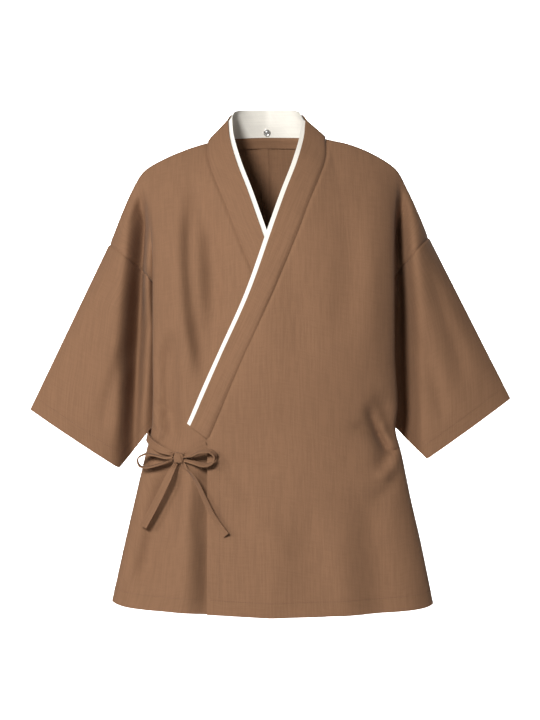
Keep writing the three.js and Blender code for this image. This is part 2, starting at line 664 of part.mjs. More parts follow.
function ribbonGeometry({ route, across, gathered }) {
  const curve = new THREE.CatmullRomCurve3(route.map((place) => new THREE.Vector3(...place)));
  const steps = (route.length - 1) * RIBBON_STEPS;
  const width = new THREE.Vector3(...across);
  const positions = [];
  const faces = [];
  for (let step = 0; step <= steps; step += 1) {
    const centre = curve.getPoint(step / steps);
    const tangent = curve.getTangent(step / steps);
    const wide = width.clone().addScaledVector(tangent, -width.dot(tangent)).normalize();
    const thick = tangent.clone().cross(wide).normalize();
    const startPull = gathered[0] * (1 - ease(step / steps / GATHERED_LENGTH));
    const endPull = gathered[1] * (1 - ease((1 - step / steps) / GATHERED_LENGTH));
    const halfWidth = (TIE_WIDTH / 2) * (1 - (1 - GATHERED_WIDTH) * Math.max(startPull, endPull));
    [[1, 1], [-1, 1], [-1, -1], [1, -1]].forEach(([a, b]) => {
      const corner = centre.clone().addScaledVector(wide, a * halfWidth);
      positions.push(...corner.addScaledVector(thick, (b * TIE_CLOTH) / 2).toArray());
    });
  }
  for (let step = 0; step < steps; step += 1) {
    for (let corner = 0; corner < 4; corner += 1) {
      const here = step * 4 + corner;
      const beside = step * 4 + ((corner + 1) % 4);
      faces.push([here, beside, beside + 4], [here, beside + 4, here + 4]);
    }
  }
  const last = steps * 4;
  faces.push([0, 2, 1], [0, 3, 2], [last, last + 1, last + 2], [last, last + 2, last + 3]);
  return solidGeometry(positions, faces);
}

function meshOf(name, geometry, look) {
  const mesh = new THREE.Mesh(geometry, new THREE.MeshStandardMaterial(look));
  mesh.name = name;
  return mesh;
}

function knotMesh() {
  const geometry = new THREE.SphereGeometry(1, KNOT_SIDES, KNOT_RINGS);
  const mesh = meshOf('bow_knot', geometry, BROWN);
  geometry.scale(KNOT.halfWidth, KNOT.halfDepth, KNOT.halfHeight);
  mesh.position.set(KNOT.x, KNOT.y, KNOT.z);
  return mesh;
}

// The snap sits inside the lining at the centre back, its axis square to the lining.
function snapMesh() {
  const seam = topPoint(1, 0);
  const top = COLLAR_ROUND_NECK[0];
  const part = (SNAP.z - seam.z) / (top.z - seam.z);
  const tilt = Math.atan2(seam.y - top.y, top.z - seam.z);
  const geometry = new THREE.CylinderGeometry(SNAP.radius, SNAP.radius, SNAP.height, SNAP_SIDES);
  const mesh = meshOf('collar_snap', geometry, STEEL);
  const inward = LINING_DEPTH + LINING_CLOTH / 2 + SNAP.clearance + SNAP.height / 2;
  const y = mix(seam.y, top.y, part) - inward * Math.cos(tilt);
  mesh.position.set(NECK_CENTRE_X, y, SNAP.z - inward * Math.sin(tilt));
  mesh.rotation.x = tilt;
  return mesh;
}

const jacket = new THREE.Group();
const body = new THREE.Group();
const collar = new THREE.Group();
const bow = new THREE.Group();
body.add(
  meshOf('front_left', frontGeometry(1), BROWN),
  meshOf('front_right', frontGeometry(-1), BROWN),
  meshOf('back_left', backGeometry(1), BROWN),
  meshOf('back_right', backGeometry(-1), BROWN),
  meshOf('sleeve_left', sleeveGeometry(1), BROWN),
  meshOf('sleeve_right', sleeveGeometry(-1), BROWN),
);
collar.add(
  meshOf('collar', collarGeometry(), BROWN),
  meshOf('collar_lining', liningGeometry(), IVORY),
  snapMesh(),
);
bow.add(knotMesh(), ...RIBBONS.map((ribbon) => meshOf(ribbon.name, ribbonGeometry(ribbon), BROWN)));
jacket.add(body, collar, bow);

export default jacket;
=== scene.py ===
"""Samue jacket, filled out as when worn, with its tied bow, on a plain pale stage."""

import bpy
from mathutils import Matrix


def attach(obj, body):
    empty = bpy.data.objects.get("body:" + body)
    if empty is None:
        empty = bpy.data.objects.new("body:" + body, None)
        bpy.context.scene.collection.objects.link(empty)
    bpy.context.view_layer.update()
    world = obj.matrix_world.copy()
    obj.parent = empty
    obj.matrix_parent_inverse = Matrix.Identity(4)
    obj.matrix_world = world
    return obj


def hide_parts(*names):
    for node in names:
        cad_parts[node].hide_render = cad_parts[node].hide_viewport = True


bl_info = {
    "name": "Samue jacket",
    "version": (1, 0, 0),
    "blender": (4, 5, 0),
    "location": "3D View > Sidebar > Samue jacket",
    "description": "Builds the cloth, neckband, bow and stitching of a samue jacket",
    "category": "Object",
}

import math

import bpy
import numpy as np
from mathutils import Matrix, Vector

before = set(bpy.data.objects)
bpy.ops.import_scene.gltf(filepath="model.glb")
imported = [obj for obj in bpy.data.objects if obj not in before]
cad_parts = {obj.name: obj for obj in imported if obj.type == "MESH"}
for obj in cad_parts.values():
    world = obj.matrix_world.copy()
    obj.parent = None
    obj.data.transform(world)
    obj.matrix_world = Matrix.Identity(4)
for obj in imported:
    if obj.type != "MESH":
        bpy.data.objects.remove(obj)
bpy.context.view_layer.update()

# Lengths in the tables are millimetres, and one of them is this many metres.
MM = 0.001

# x runs to the wearer's left, y to the wearer's back, z up. Pieces are named for the wearer's sides.
# In the tables left and right are those of the front view, and face is -1 for the front, 1 for the back.
UNDERARM_Z = -240
NECK_CENTRE_X = -5
NECK_ACROSS = 0.42
RIDGE_ACROSS = 0.74
BACK_NECK_Y = 70
BACK_NECK_Z = 7
FRONT_NECK_Y = -34
BACK_NECK_ROUNDING = 0.6
SECTION_FLATNESS = 1.6
CHEST_ROUNDING = 0.85
MIDDLE_NARROWING = 3
ARMHOLE_NARROWING = 1.5
SWELL_SKEW = 0.8
FOLD_FADE = 0.25
FOLDS_END = 0.8
FOLDS_END_FADE = 0.18
TROUGH_START = 0.15
TROUGH_FADE = 0.1
TROUGH_FOLD_FADE = 0.24
TROUGH_STEEPNESS = 2.5
CUFF_STEEPNESS = 1.2
CUFF_EASING = 0.3
OVER_LIFT = 3.2
UNDER_LIFT = -2.2
LIFT_ACROSS = 0.3
LIFT_ACROSS_FADE = 0.4
LIFT_DOWN = 0.15
LIFT_DOWN_FADE = 0.35
ARMHOLE_BULGE = 50
CUFF_BULGE = 36
CUFF_BACK_RISE = 5
SEAM_GAP = 0.3
TUCK = 2.3
COLLAR_GAP = 0.45
LINING_SHOW = 7
LINING_DEPTH = 2.05
LINING_START = 0.1
COLLAR_LEAN = 0.87
COLLAR_SETTLE = 50
FRONT_EDGE = -88.5
COLLAR_END_ROW = 1.459

# Rows of places down a panel: to the underarm, to the neckband's end and to the hem
YOKE_ROWS = 66
CHEST_ROWS = 72
SKIRT_ROWS = 90

# Where the finer creases fade out, as shares of their own length, of a panel or of a sleeve
CREASE_FADE = 0.3
CREASES_END = 0.84
CREASES_END_FADE = 0.14
SHOULDER_FADE = 0.3
SLEEVE_EDGE_FADE = 0.2
ARMHOLE_FADE = 0.12

# Where along a sleeve its trough turns gentler, and where it gets shallower towards the cuff
STEEPNESS_FADE = 0.3
CUFF_EASING_START = 0.55
CUFF_EASING_FADE = 0.45

# How deep the stitching draws the cloth in, and how wide the sunk strip is
SEAM_PULL = 1.2
SEAM_PULL_WIDTH = 3.2
FRONT_SEAM_PULL = 2.2
COLLAR_PULL = 1.7
COLLAR_PULL_WIDTH = 2.4

# Where a sleeve's end stops being tucked under the armhole's edge
TUCK_END = 0.008
TUCK_FADE = 0.012

# The step along a surface for finding which way it faces, and the halvings that solve for a place on it
NORMAL_STEP = 0.004
SOLVE_STEPS = 34

# The pressed allowances inside the back: thickness, and how far the centre one reaches to either side
ALLOWANCE_CLOTH = 0.8
ALLOWANCE_REACH = (-11.5, 0.8)

# Borders of a grid of places, for draw_back
FIRST_COLUMN, SECOND_COLUMN = (slice(None), 0), (slice(None), 1)
LAST_COLUMN, COLUMN_BEFORE_LAST = (slice(None), -1), (slice(None), -2)


def table(columns, *rows):
    """A table's rows, each with its values under the names of the columns."""
    return [dict(zip(columns.split(), row)) for row in rows]


SHOULDER_LINE = table(
    "across leftX leftZ rightX rightZ",
    (0.42, 97, -4, 87, 2),
    (0.55, 131, -15, 131, -9),
    (0.66, 168, -31, 170, -27),
    (0.74, 196, -49, 197, -47),
    (0.82, 214, -78, 213, -76),
    (0.91, 232, -119, 230, -112),
    (1.0, 249, -163, 246, -152),
)

BODY_SECTIONS = table(
    "z leftTurn leftSide rightTurn rightSide front back turnY",
    (-240, 178, 172, 189, 183, 112, 104, 62),
    (-341, 178, 167, 190, 178, 116, 98, 60),
    (-410, 178, 168, 194, 180, 114, 92, 55),
    (-447, 180, 173, 191, 184, 113, 91, 53),
    (-480, 188, 184, 199, 194, 115, 94, 55),
    (-558, 206, 204, 215, 212, 122, 103, 62),
    (-620, 220, 217, 229, 226, 130, 112, 68),
    (-716, 241, 237, 248, 244, 140, 124, 75),
    (-726, 243, 239, 250, 246, 141, 125, 76),
)

HEM_LINE = table(
    "across z",
    (-1, -702), (-0.74, -705), (-0.59, -713), (-0.45, -717), (-0.25, -722), (0, -725), (0.3, -723), (0.5, -719),
    (0.62, -715), (0.74, -709), (1, -706),
)

# The main folds: z is given for a fold's top and foot, and x for its top, middle and foot. The width is half of
# what the fold takes up, and a ridge's depth is negative.
FOLD_COLUMNS = ("face", "topZ", "footZ", "topX", "middleX", "footX", "width", "depth")
BODY_FOLDS = [dict(zip(FOLD_COLUMNS, row)) for row in (
    (-1, -50, -370, -116, -92, -97, 17, 10),
    (-1, -90, -420, -150, -134, -126, 18, -5),
    (-1, -290, -490, -148, -152, -140, 15, 15),
    (-1, -490, -700, -148, -172, -196, 19, 17),
    (-1, -500, -760, -124, -126, -132, 18, -8),
    (-1, -520, -780, 140, 158, 168, 30, 9),
    (-1, -380, -520, 160, 176, 168, 16, 9),
    (1, -60, -400, -120, -104, -112, 20, 11),
    (1, -70, -420, 122, 108, 116, 20, 10),
    (1, -430, -790, -96, -122, -150, 26, 14),
    (1, -440, -790, 90, 118, 140, 26, 13),
    (1, -400, -790, -10, 6, 16, 30, -8),
)]
# The troughs between body and sleeve, by face and side, with the same columns after the face
ARMPIT_FOLDS = {key: dict(zip(FOLD_COLUMNS[1:], row)) for key, row in {
    (-1, -1): (-40, -620, -189, -204, -216, 17, 57),
    (-1, 1): (-40, -620, 193, 201, 206, 17, 52),
    (1, -1): (-52, -620, -197, -212, -222, 15, 30),
    (1, 1): (-52, -620, 197, 212, 222, 15, 30),
}.items()}

# Finer creases, given one by one: face, start x and z, end x and z, sideways bow, half width, depth
CREASES = [
    (-1, 146, -400, 186, -490, 6, 8, 11.0),
    (-1, 168, -430, 190, -478, 3, 6, -4.0),
    (-1, 198, -482, 160, -524, -4, 9, -5.0),
    (-1, 206, -474, 176, -486, 2, 3.5, 4.0),
    (-1, 196, -500, 150, -560, -6, 12, 3.0),
    (-1, 120, -436, 172, -470, -5, 9, 4.0),
    (-1, -116, -60, -92, -390, 16, 11, 9.0),
    (-1, -66, -70, -74, -430, 0, 46, 11.0),
    (-1, -84, -110, -74, -300, 6, 12, 4.0),
    (-1, -177, -400, -160, -478, 4, 7, -4.0),
    (-1, -180, -436, -146, -476, 3, 4, 3.5),
    (-1, -182, -456, -148, -486, 2, 4, 3.0),
    (-1, -138, -492, -162, -640, -6, 11, 8.0),
    (-1, -88, -470, 20, -508, 9, 12, 2.4),
    (-1, -86, -482, -20, -590, -10, 14, 3.0),
    (-1, -60, -500, 40, -640, 14, 18, -2.6),
    (-1, 30, -130, 60, -360, 12, 24, 2.2),
    (-1, 110, -90, 96, -330, -14, 22, 3.0),
    (-1, 150, -120, 140, -380, -8, 18, -2.4),
    (-1, 60, -540, 74, -740, 6, 26, 2.6),
    (-1, 10, -560, -4, -740, -6, 24, -2.2),
    (-1, 100, -560, 120, -740, 6, 20, -2.4),
    (-1, -150, -430, -176, -404, 4, 8, 3.0),
    (-1, -158, -452, -178, -478, -3, 7, 3.5),
    (-1, -120, -440, -104, -400, 4, 9, 2.4),
    (-1, -112, -505, -104, -620, 5, 12, 3.0),
    (-1, -70, -90, -62, -260, 6, 14, 2.2),
    (1, -60, -110, -44, -330, 8, 20, 3.0),
    (1, 56, -120, 38, -350, -8, 20, 3.2),
    (1, -150, -300, -120, -470, 10, 14, 4.0),
    (1, 156, -310, 128, -480, -10, 14, 4.0),
    (1, -170, -400, -120, -440, 6, 8, 3.2),
    (1, 172, -410, 126, -452, -6, 8, 3.2),
    (1, -40, -450, -56, -700, -8, 22, -3.4),
    (1, 50, -460, 66, -710, 8, 22, -3.2),
    (1, -170, -540, -190, -730, -6, 16, 4.0),
    (1, 176, -540, 196, -730, 6, 16, 4.0),
    (1, 0, -120, 4, -420, 5, 26, 2.4),
]
# How the under front sinks away from under the over front's edge, with the same columns
UNDER_CREASES = [
    (-1, -92, -440, -90, -780, 0, 17, 15.0),
]
SLEEVE_CREASES = [
    (-1, -236, -190, -300, -420, 10, 16, 4.0),
    (-1, -262, -230, -346, -400, 8, 18, -3.5),
    (-1, -205, -290, -262, -470, 8, 12, 4.5),
    (-1, -206, -190, -220, -440, -2, 13, 7.0),
    (-1, 214, -200, 226, -440, 2, 10, 5.0),
    (-1, -226, -330, -240, -480, -6, 10, -3.0),
    (-1, 232, -180, 300, -400, -10, 16, 4.0),
    (-1, 262, -230, 348, -384, -8, 18, -3.5),
    (-1, 215, -290, 268, -452, -8, 12, 4.0),
    (1, -236, -190, -304, -420, 12, 16, 4.5),
    (1, -212, -290, -266, -470, 8, 13, 4.5),
    (1, -270, -240, -350, -400, 8, 18, -3.5),
    (1, 236, -190, 306, -400, -12, 16, 4.5),
    (1, 214, -290, 270, -452, -8, 13, 4.5),
    (1, 270, -240, 350, -384, -8, 18, -3.5),
]

# The neckband down the chest, where it is sewn on and where its free edge lies, and round the back of the neck
COLLAR_ON_CHEST = table(
    "seamZ seamX freeX freeZ",
    (2, 92, 60, 31),
    (-29, 90.5, 56.5, 0),
    (-59, 81, 46, -38),
    (-103, 63.5, 28.5, -85),
    (-145, 48, 12.8, -130),
    (-251, 4, -25, -238),
    (-348, -39.8, -69, -336),
    (-463, -88.5, -116.3, -444),
)
COLLAR_ROUND_NECK = table(
    "turn x y z",
    (0.0, 0, 58, 46),
    (0.5, 38, 47, 45),
    (0.8, 55, 28, 41),
    (1.0, 60, 5, 31),
)
# The corners of each cuff, by side
CUFFS = {
    -1: {"outerX": -371, "outerZ": -418, "lowX": -232.5, "lowZ": -507, "innerX": -180, "innerZ": -441},
    1: {"outerX": 372, "outerZ": -401, "lowX": 241, "lowZ": -493, "innerX": 192, "innerZ": -443},
}

# The bow: the knot's centre and half sizes, and each ribbon's route, width direction and gathered ends
KNOT = {"centre": (-137, -105, -488), "half": (8.5, 6.5, 8.5)}
RIBBONS = {
    "tie_front": ((-0.45, 0, 0.88), (0, 1), (
        (-95.6, -107.5, -467.5), (-106, -107.5, -473), (-118, -105.5, -479), (-129.4, -103.2, -482.7))),
    "tie_side": ((0.1, 0.2, 0.97), (0, 1), (
        (-181, -22, -449), (-187, -50, -456), (-181, -74, -465), (-166, -93, -475), (-144.9, -103.2, -482.9))),
    "bow_loop_front": ((0.35, 0.8, 0.45), (1, 1), (
        (-128.8, -107.9, -486.65), (-117, -117, -484), (-104, -123, -478), (-90, -125, -477), (-82, -125, -484),
        (-86, -124, -494), (-97, -122, -498), (-112, -115, -495), (-128.6, -106, -491.2))),
    "bow_loop_side": ((0.1, 0.98, 0.15), (1, 1), (
        (-146.2, -107.5, -486.7), (-157, -104, -488), (-175, -95, -484), (-189, -89, -483), (-200, -87, -490),
        (-197, -87, -501), (-186, -90, -503), (-173, -96, -500), (-157, -103, -495), (-146.3, -105, -491.8))),
    "bow_tail_side": ((0.88, 0.1, -0.46), (1, 0), (
        (-141.4, -105, -495.6), (-158, -102, -529), (-174, -99, -561), (-191, -98.5, -592))),
    "bow_tail_front": ((0.86, -0.1, 0.5), (1, 0), (
        (-132, -105.6, -495.3), (-112, -115, -520), (-96, -125, -552), (-83, -130, -577), (-65, -134, -602))),
}
# How far a tail is turned about its own length where it leaves the knot, in radians
TWISTS = {"bow_tail_front": 1.2, "bow_tail_side": 0.4}
SNAP = {"radius": 5.3, "height": 1.6, "z": 19, "clearance": 0.95}


def ease(part):
    k = np.clip(part, 0, 1)
    return k * k * (3 - 2 * k)


def mix(start, end, part):
    return start + (end - start) * part


def stacked(x, y, z):
    return np.stack(np.broadcast_arrays(x, y, z), axis=-1).astype(float)


def unit(vectors):
    return vectors / np.maximum(np.linalg.norm(vectors, axis=-1, keepdims=True), 1e-12)


def read_table(rows, place_column, value_column, place):
    """Reads a column at any place, on a smooth curve through the table's rows."""
    places = np.array([row[place_column] for row in rows], float)
    values = np.array([row[value_column] for row in rows], float)
    place = np.asarray(place, float)
    if places[-1] < places[0]:
        places = -places
        place = -place
    last = len(rows) - 1
    before = np.maximum(np.arange(last + 1) - 1, 0)
    after = np.minimum(np.arange(last + 1) + 1, last)
    slopes = (values[after] - values[before]) / (places[after] - places[before])
    row = np.clip(np.searchsorted(places, place) - 1, 0, last - 1)
    span = places[row + 1] - places[row]
    t = np.clip((place - places[row]) / span, 0, 1)
    start_slope = slopes[row] * span
    end_slope = slopes[row + 1] * span
    rise = values[row + 1] - values[row]
    bend = 3 * rise - 2 * start_slope - end_slope
    turn = start_slope + end_slope - 2 * rise
    return values[row] + t * (start_slope + t * (bend + t * turn))


def on_side(rows, place_column, name, place, across):
    """Reads the left or right column of a table, by the sign of across."""
    left = read_table(rows, place_column, "left" + name, place)
    right = read_table(rows, place_column, "right" + name, place)
    return np.where(across < 0, left, right)


def fold_depth(fold, x, z, fade=FOLD_FADE, steepness=1.0):
    """How far a main fold sinks into the garment. A steep one is narrower on the side of the middle."""
    t = np.clip((fold["topZ"] - z) / (fold["topZ"] - fold["footZ"]), 0, 1)
    bow = fold["middleX"] - (fold["topX"] + fold["footX"]) / 2
    line_x = mix(fold["topX"], fold["footX"], t) + bow * 4 * t * (1 - t)
    aside = x - line_x
    reach = aside / fold["width"] * np.where(aside * np.sign(line_x) < 0, steepness, 1)
    return fold["depth"] * np.exp(-reach * reach) * ease(t / fade) * ease((1 - t) / FOLD_FADE)


def crease_depth(creases, face, x, z):
    """How far the finer creases of a face sink into it, each one along its own line."""
    depth = np.zeros(np.broadcast(x, z).shape)
    for own_face, start_x, start_z, end_x, end_z, bow, width, deep in creases:
        if own_face != face:
            continue
        run_x, run_z = end_x - start_x, end_z - start_z
        length = math.hypot(run_x, run_z)
        along = ((x - start_x) * run_x + (z - start_z) * run_z) / length ** 2
        aside = ((x - start_x) * run_z - (z - start_z) * run_x) / length
        t = np.clip(along, 0, 1)
        reach = (aside - bow * 4 * t * (1 - t)) / width
        depth += deep * np.exp(-reach * reach) * ease(t / CREASE_FADE) * ease((1 - t) / CREASE_FADE)
    return depth


def unevenness(face, x, z):
    """The small rise and fall of cloth that was never quite flat."""
    turn = 1.3 if face > 0 else 0.4
    slow = np.sin(x / 31 + z / 47 + turn) + np.sin(x / 23 - z / 61 + 2.1 * turn)
    quick = np.sin(x / 11.3 + z / 19 + 1.7 * turn) * np.sin(z / 13.7 - x / 29 + turn)
    return 0.45 * slow + 0.22 * quick


def top_point(face, across):
    """The top row of a face: the neck curve between the neck points, and the shoulder line outside them."""
    across = np.asarray(across, float)
    part = np.abs(across)
    sign = np.where(across < 0, -1, 1)
    outer_x = sign * on_side(SHOULDER_LINE, "across", "X", part, across)
    outer_z = on_side(SHOULDER_LINE, "across", "Z", part, across)
    t = np.clip(part / NECK_ACROSS, 0, 1)
    neck = SHOULDER_LINE[0]
    neck_x = np.where(across < 0, neck["leftX"], neck["rightX"])
    neck_z = np.where(across < 0, neck["leftZ"], neck["rightZ"])
    x = mix(NECK_CENTRE_X, sign * neck_x, t)
    if face > 0:
        y = BACK_NECK_Y * (1 - t * t) ** BACK_NECK_ROUNDING
        z = mix(BACK_NECK_Z, neck_z, t * t)
    else:
        y = FRONT_NECK_Y * (1 - t * t)
        z = neck_z * t
    outside = part >= NECK_ACROSS
    return stacked(np.where(outside, outer_x, x), np.where(outside, 0, y), np.where(outside, outer_z, z))


def section_point(face, across, z):
    """A level section of the body, without folds."""
    part = np.abs(across)
    sign = np.where(across < 0, -1, 1)
    turn_x = on_side(BODY_SECTIONS, "z", "Turn", z, across)
    side_x = on_side(BODY_SECTIONS, "z", "Side", z, across)
    turn_y = read_table(BODY_SECTIONS, "z", "turnY", z)
    depth = read_table(BODY_SECTIONS, "z", "front" if face < 0 else "back", z)
    angle = math.pi / 2 * np.clip(part / RIDGE_ACROSS, 0, 1) ** SECTION_FLATNESS
    broad_x = turn_x * np.sin(angle)
    broad_y = turn_y + (depth - turn_y) * np.cos(angle)
    turn = np.clip((part - RIDGE_ACROSS) / (1 - RIDGE_ACROSS), 0, 1)
    narrow_x = side_x + (turn_x - side_x) * (1 + np.cos(math.pi * turn)) / 2
    narrow_y = turn_y * (1 - turn)
    broad = part <= RIDGE_ACROSS
    return stacked(sign * np.where(broad, broad_x, narrow_x), face * np.where(broad, broad_y, narrow_y), z)


def body_form(face, across, down):
    """The body without folds. down is 0 on the top row, 1 at the underarm and 2 at the hem."""
    across, down = np.broadcast_arrays(np.asarray(across, float), np.asarray(down, float))
    part = np.abs(across)
    hem_z = read_table(HEM_LINE, "across", "z", across)
    below = section_point(face, across, mix(UNDERARM_Z, hem_z, np.clip(down - 1, 0, 1)))
    top = top_point(face, across)
    low = section_point(face, across, np.full(across.shape, float(UNDERARM_Z)))
    yoke = np.clip(down, 0, 1)
    outer = ease((part - RIDGE_ACROSS) / (1 - RIDGE_ACROSS))
    narrowing = 1 - (1 - yoke) ** mix(MIDDLE_NARROWING, ARMHOLE_NARROWING, outer)
    rounding = np.maximum(np.sin(math.pi / 2 * yoke), 0) ** CHEST_ROUNDING
    bulge = face * ARMHOLE_BULGE * outer * np.sin(math.pi * yoke ** SWELL_SKEW)
    above = stacked(
        mix(top[..., 0], low[..., 0], narrowing),
        mix(top[..., 1], low[..., 1], rounding) + bulge,
        mix(top[..., 2], low[..., 2], yoke),
    )
    return np.where((down >= 1)[..., None], below, above)


def trough_depth(face, side, x, z, round_, steepness=TROUGH_STEEPNESS):
    """The trough between body and sleeve, nothing on the outer edge and at the underarm."""
    fold = ARMPIT_FOLDS[face, side]
    depth = fold_depth(fold, x, z, TROUGH_FOLD_FADE, steepness)
    return depth * ease(round_ / TROUGH_START) * (1 - round_ ** 3)


def body_point(face, across, down):
    """The body with its folds, its creases and its unevenness."""
    across, down = np.broadcast_arrays(np.asarray(across, float), np.asarray(down, float))
    point = body_form(face, across, down).copy()
    part = np.abs(across)
    x, z = point[..., 0].copy(), point[..., 2].copy()
    sunk = sum(fold_depth(fold, x, z) for fold in BODY_FOLDS if fold["face"] == face)
    point[..., 1] -= face * sunk * (1 - ease((part - FOLDS_END) / FOLDS_END_FADE))
    fine = crease_depth(CREASES, face, x, z) + unevenness(face, x, z)
    inside = (1 - ease((part - CREASES_END) / CREASES_END_FADE)) * ease(down / SHOULDER_FADE)
    point[..., 1] -= face * fine * inside
    yoke = np.clip(down, 0, 1)
    for side in (-1, 1):
        trough = trough_depth(face, side, x, z, yoke) * ease((part - RIDGE_ACROSS) / TROUGH_FADE)
        here = (across * side > RIDGE_ACROSS) & (down < 1)
        point[..., 1] -= np.where(here, face * trough, 0)
    return point


def cuff_point(face, side, round_):
    """The outline of a sleeve opening."""
    cuff = CUFFS[side]
    outer = round_ <= 0.5
    t = np.where(outer, round_ / 0.5, (round_ - 0.5) / 0.5)
    x = np.where(outer, mix(cuff["outerX"], cuff["lowX"], t), mix(cuff["lowX"], cuff["innerX"], t))
    z = np.where(outer, mix(cuff["outerZ"], cuff["lowZ"], t), mix(cuff["lowZ"], cuff["innerZ"], t))
    swell = np.sin(math.pi * round_ ** SWELL_SKEW)
    return stacked(x, face * CUFF_BULGE * swell, z + (CUFF_BACK_RISE * swell if face > 0 else 0))


def sleeve_point(face, side, round_, along):
    """The sleeve. round_ is 0 on its outer edge and 1 at the underarm, along is 0 at the armhole."""
    round_, along = np.broadcast_arrays(np.asarray(round_, float), np.asarray(along, float))
    armhole = body_form(face, np.full(round_.shape, float(side)), round_)
    point = mix(armhole, cuff_point(face, side, round_), along[..., None])
    x, z = point[..., 0].copy(), point[..., 2].copy()
    steepness = mix(TROUGH_STEEPNESS, CUFF_STEEPNESS, ease(along / STEEPNESS_FADE))
    eased = 1 - CUFF_EASING * ease((along - CUFF_EASING_START) / CUFF_EASING_FADE)
    point[..., 1] -= face * trough_depth(face, side, x, z, round_, steepness) * eased
    fine = crease_depth(SLEEVE_CREASES, face, x, z) + unevenness(face, x, z)
    from_edges = ease(round_ / SLEEVE_EDGE_FADE) * ease((1 - round_) / SLEEVE_EDGE_FADE)
    point[..., 1] -= face * fine * (from_edges * ease(along / ARMHOLE_FADE))
    return point


def surface_normal(surface, u, v, range_u, range_v, outward):
    """Which way a surface faces, from a short step along it to either side."""
    low_u, high_u = np.clip(u - NORMAL_STEP, *range_u), np.clip(u + NORMAL_STEP, *range_u)
    low_v, high_v = np.clip(v - NORMAL_STEP, *range_v), np.clip(v + NORMAL_STEP, *range_v)
    along_u = surface(high_u, v) - surface(low_u, v)
    along_v = surface(u, high_v) - surface(u, low_v)
    return unit(np.cross(along_u, along_v) * outward)


def body_normal(face, across, down):
    across, down = np.broadcast_arrays(np.asarray(across, float), np.asarray(down, float))
    return surface_normal(lambda a, d: body_point(face, a, d), across, down, (-1, 1), (0, 2), face)


def sleeve_normal(face, side, round_, along):
    round_, along = np.broadcast_arrays(np.asarray(round_, float), np.asarray(along, float))
    surface = lambda r, a: sleeve_point(face, side, r, a)
    return surface_normal(surface, round_, along, (0, 1), (0, 1), -face * side)


def front_point(own_side, across, down):
    """A front, which stands off the common surface where the two fronts overlap."""
    lift = OVER_LIFT if own_side > 0 else UNDER_LIFT
    inward = 1 - ease((across * own_side - LIFT_ACROSS) / LIFT_ACROSS_FADE)
    lift = lift * inward * ease((down - LIFT_DOWN) / LIFT_DOWN_FADE)
    point = body_point(-1, across, down)
    if own_side < 0:
        point[..., 1] += crease_depth(UNDER_CREASES, -1, point[..., 0], point[..., 2])
    return point + body_normal(-1, across, down) * lift[..., None]


def solve_across(difference, low, high):
    """Solves for where a rising function of across reaches zero, at every place at once."""
    for _ in range(SOLVE_STEPS):
        middle = (low + high) / 2
        below = difference(middle) < 0
        low = np.where(below, middle, low)
        high = np.where(below, high, middle)
    return (low + high) / 2


def front_edge_across(own_side, down):
    """Where a front's row meets the collar seam, or the straight front edge below the collar."""
    down = np.asarray(down, float)

    def difference(across):
        point = body_form(-1, across, down)
        on_collar = read_table(COLLAR_ON_CHEST, "seamZ", "seamX", point[..., 2])
        seam_x = np.where(down < COLLAR_END_ROW - 1e-9, on_collar, FRONT_EDGE)
        return point[..., 0] - (NECK_CENTRE_X + own_side * seam_x)

    found = solve_across(difference, np.full(down.shape, -1.0), np.full(down.shape, 1.0))
    return np.where(down == 0, own_side * NECK_ACROSS, found)


def front_behind(own_side, x, z):
    """The place on a front's surface straight behind a point of the front view."""
    x, z = np.broadcast_arrays(np.asarray(x, float), np.asarray(z, float))

    def down_at(across):
        top = top_point(-1, across)[..., 2]
        hem_z = read_table(HEM_LINE, "across", "z", across)
        above = np.clip((top - z) / (top - UNDERARM_Z), 0, 1)
        below = 1 + np.clip((UNDERARM_Z - z) / (UNDERARM_Z - hem_z), 0, 1)
        return np.where(z > UNDERARM_Z, above, below)

    low, high = np.full(x.shape, -RIDGE_ACROSS), np.full(x.shape, RIDGE_ACROSS)
    across = solve_across(lambda a: body_form(-1, a, down_at(a))[..., 0] - x, low, high)
    return front_point(own_side, across, down_at(across))


def body_rows():
    """Rows from the shoulder to the hem, closer together where the shoulder rounds and at the hem."""
    yoke = 1 - np.cos(math.pi / 2 * np.arange(YOKE_ROWS + 1) / (YOKE_ROWS + 1))
    chest = np.linspace(1, COLLAR_END_ROW, CHEST_ROWS, endpoint=False)
    skirt = np.linspace(COLLAR_END_ROW, 2, SKIRT_ROWS)
    return np.concatenate([np.delete(yoke, 1), chest, skirt])


def panel_columns(count):
    """Columns from one border of a piece to the other, closer together at both borders."""
    border = np.array([0, 0.0045, 0.010, 0.017])
    middle = np.linspace(0.027, 0.973, count)
    return np.concatenate([border, middle, 1 - border[::-1]])


ROWS = body_rows()
COLUMNS = panel_columns(92)


def distances(points, axis):
    """How far each point lies along its row or column, in millimetres."""
    steps = np.linalg.norm(np.diff(points, axis=axis), axis=-1)
    start = np.zeros_like(np.take(steps, [0], axis=axis))
    return np.concatenate([start, np.cumsum(steps, axis=axis)], axis=axis)


def sink_seam(points, normals, away, depth=SEAM_PULL, width=SEAM_PULL_WIDTH):
    """Draws the cloth in along a seam, where the stitching holds it down."""
    return points - normals * (depth * np.exp(-(away / width) ** 2))[..., None]


def draw_back(points, border, inside, distance):
    """Moves a border row back from its seam, along the cloth."""
    points[border] += unit(points[inside] - points[border]) * distance


def lay_on_cut(mesh, flat):
    """Gives each point of a mesh its place on the flat cut cloth, in metres, as the mesh's cut UVs."""
    corner = np.empty(len(mesh.loops), dtype=np.int32)
    mesh.loops.foreach_get("vertex_index", corner)
    mesh.uv_layers[0].name = "cut"
    mesh.uv_layers["cut"].data.foreach_set("uv", flat[corner].reshape(-1))
    mesh.update()


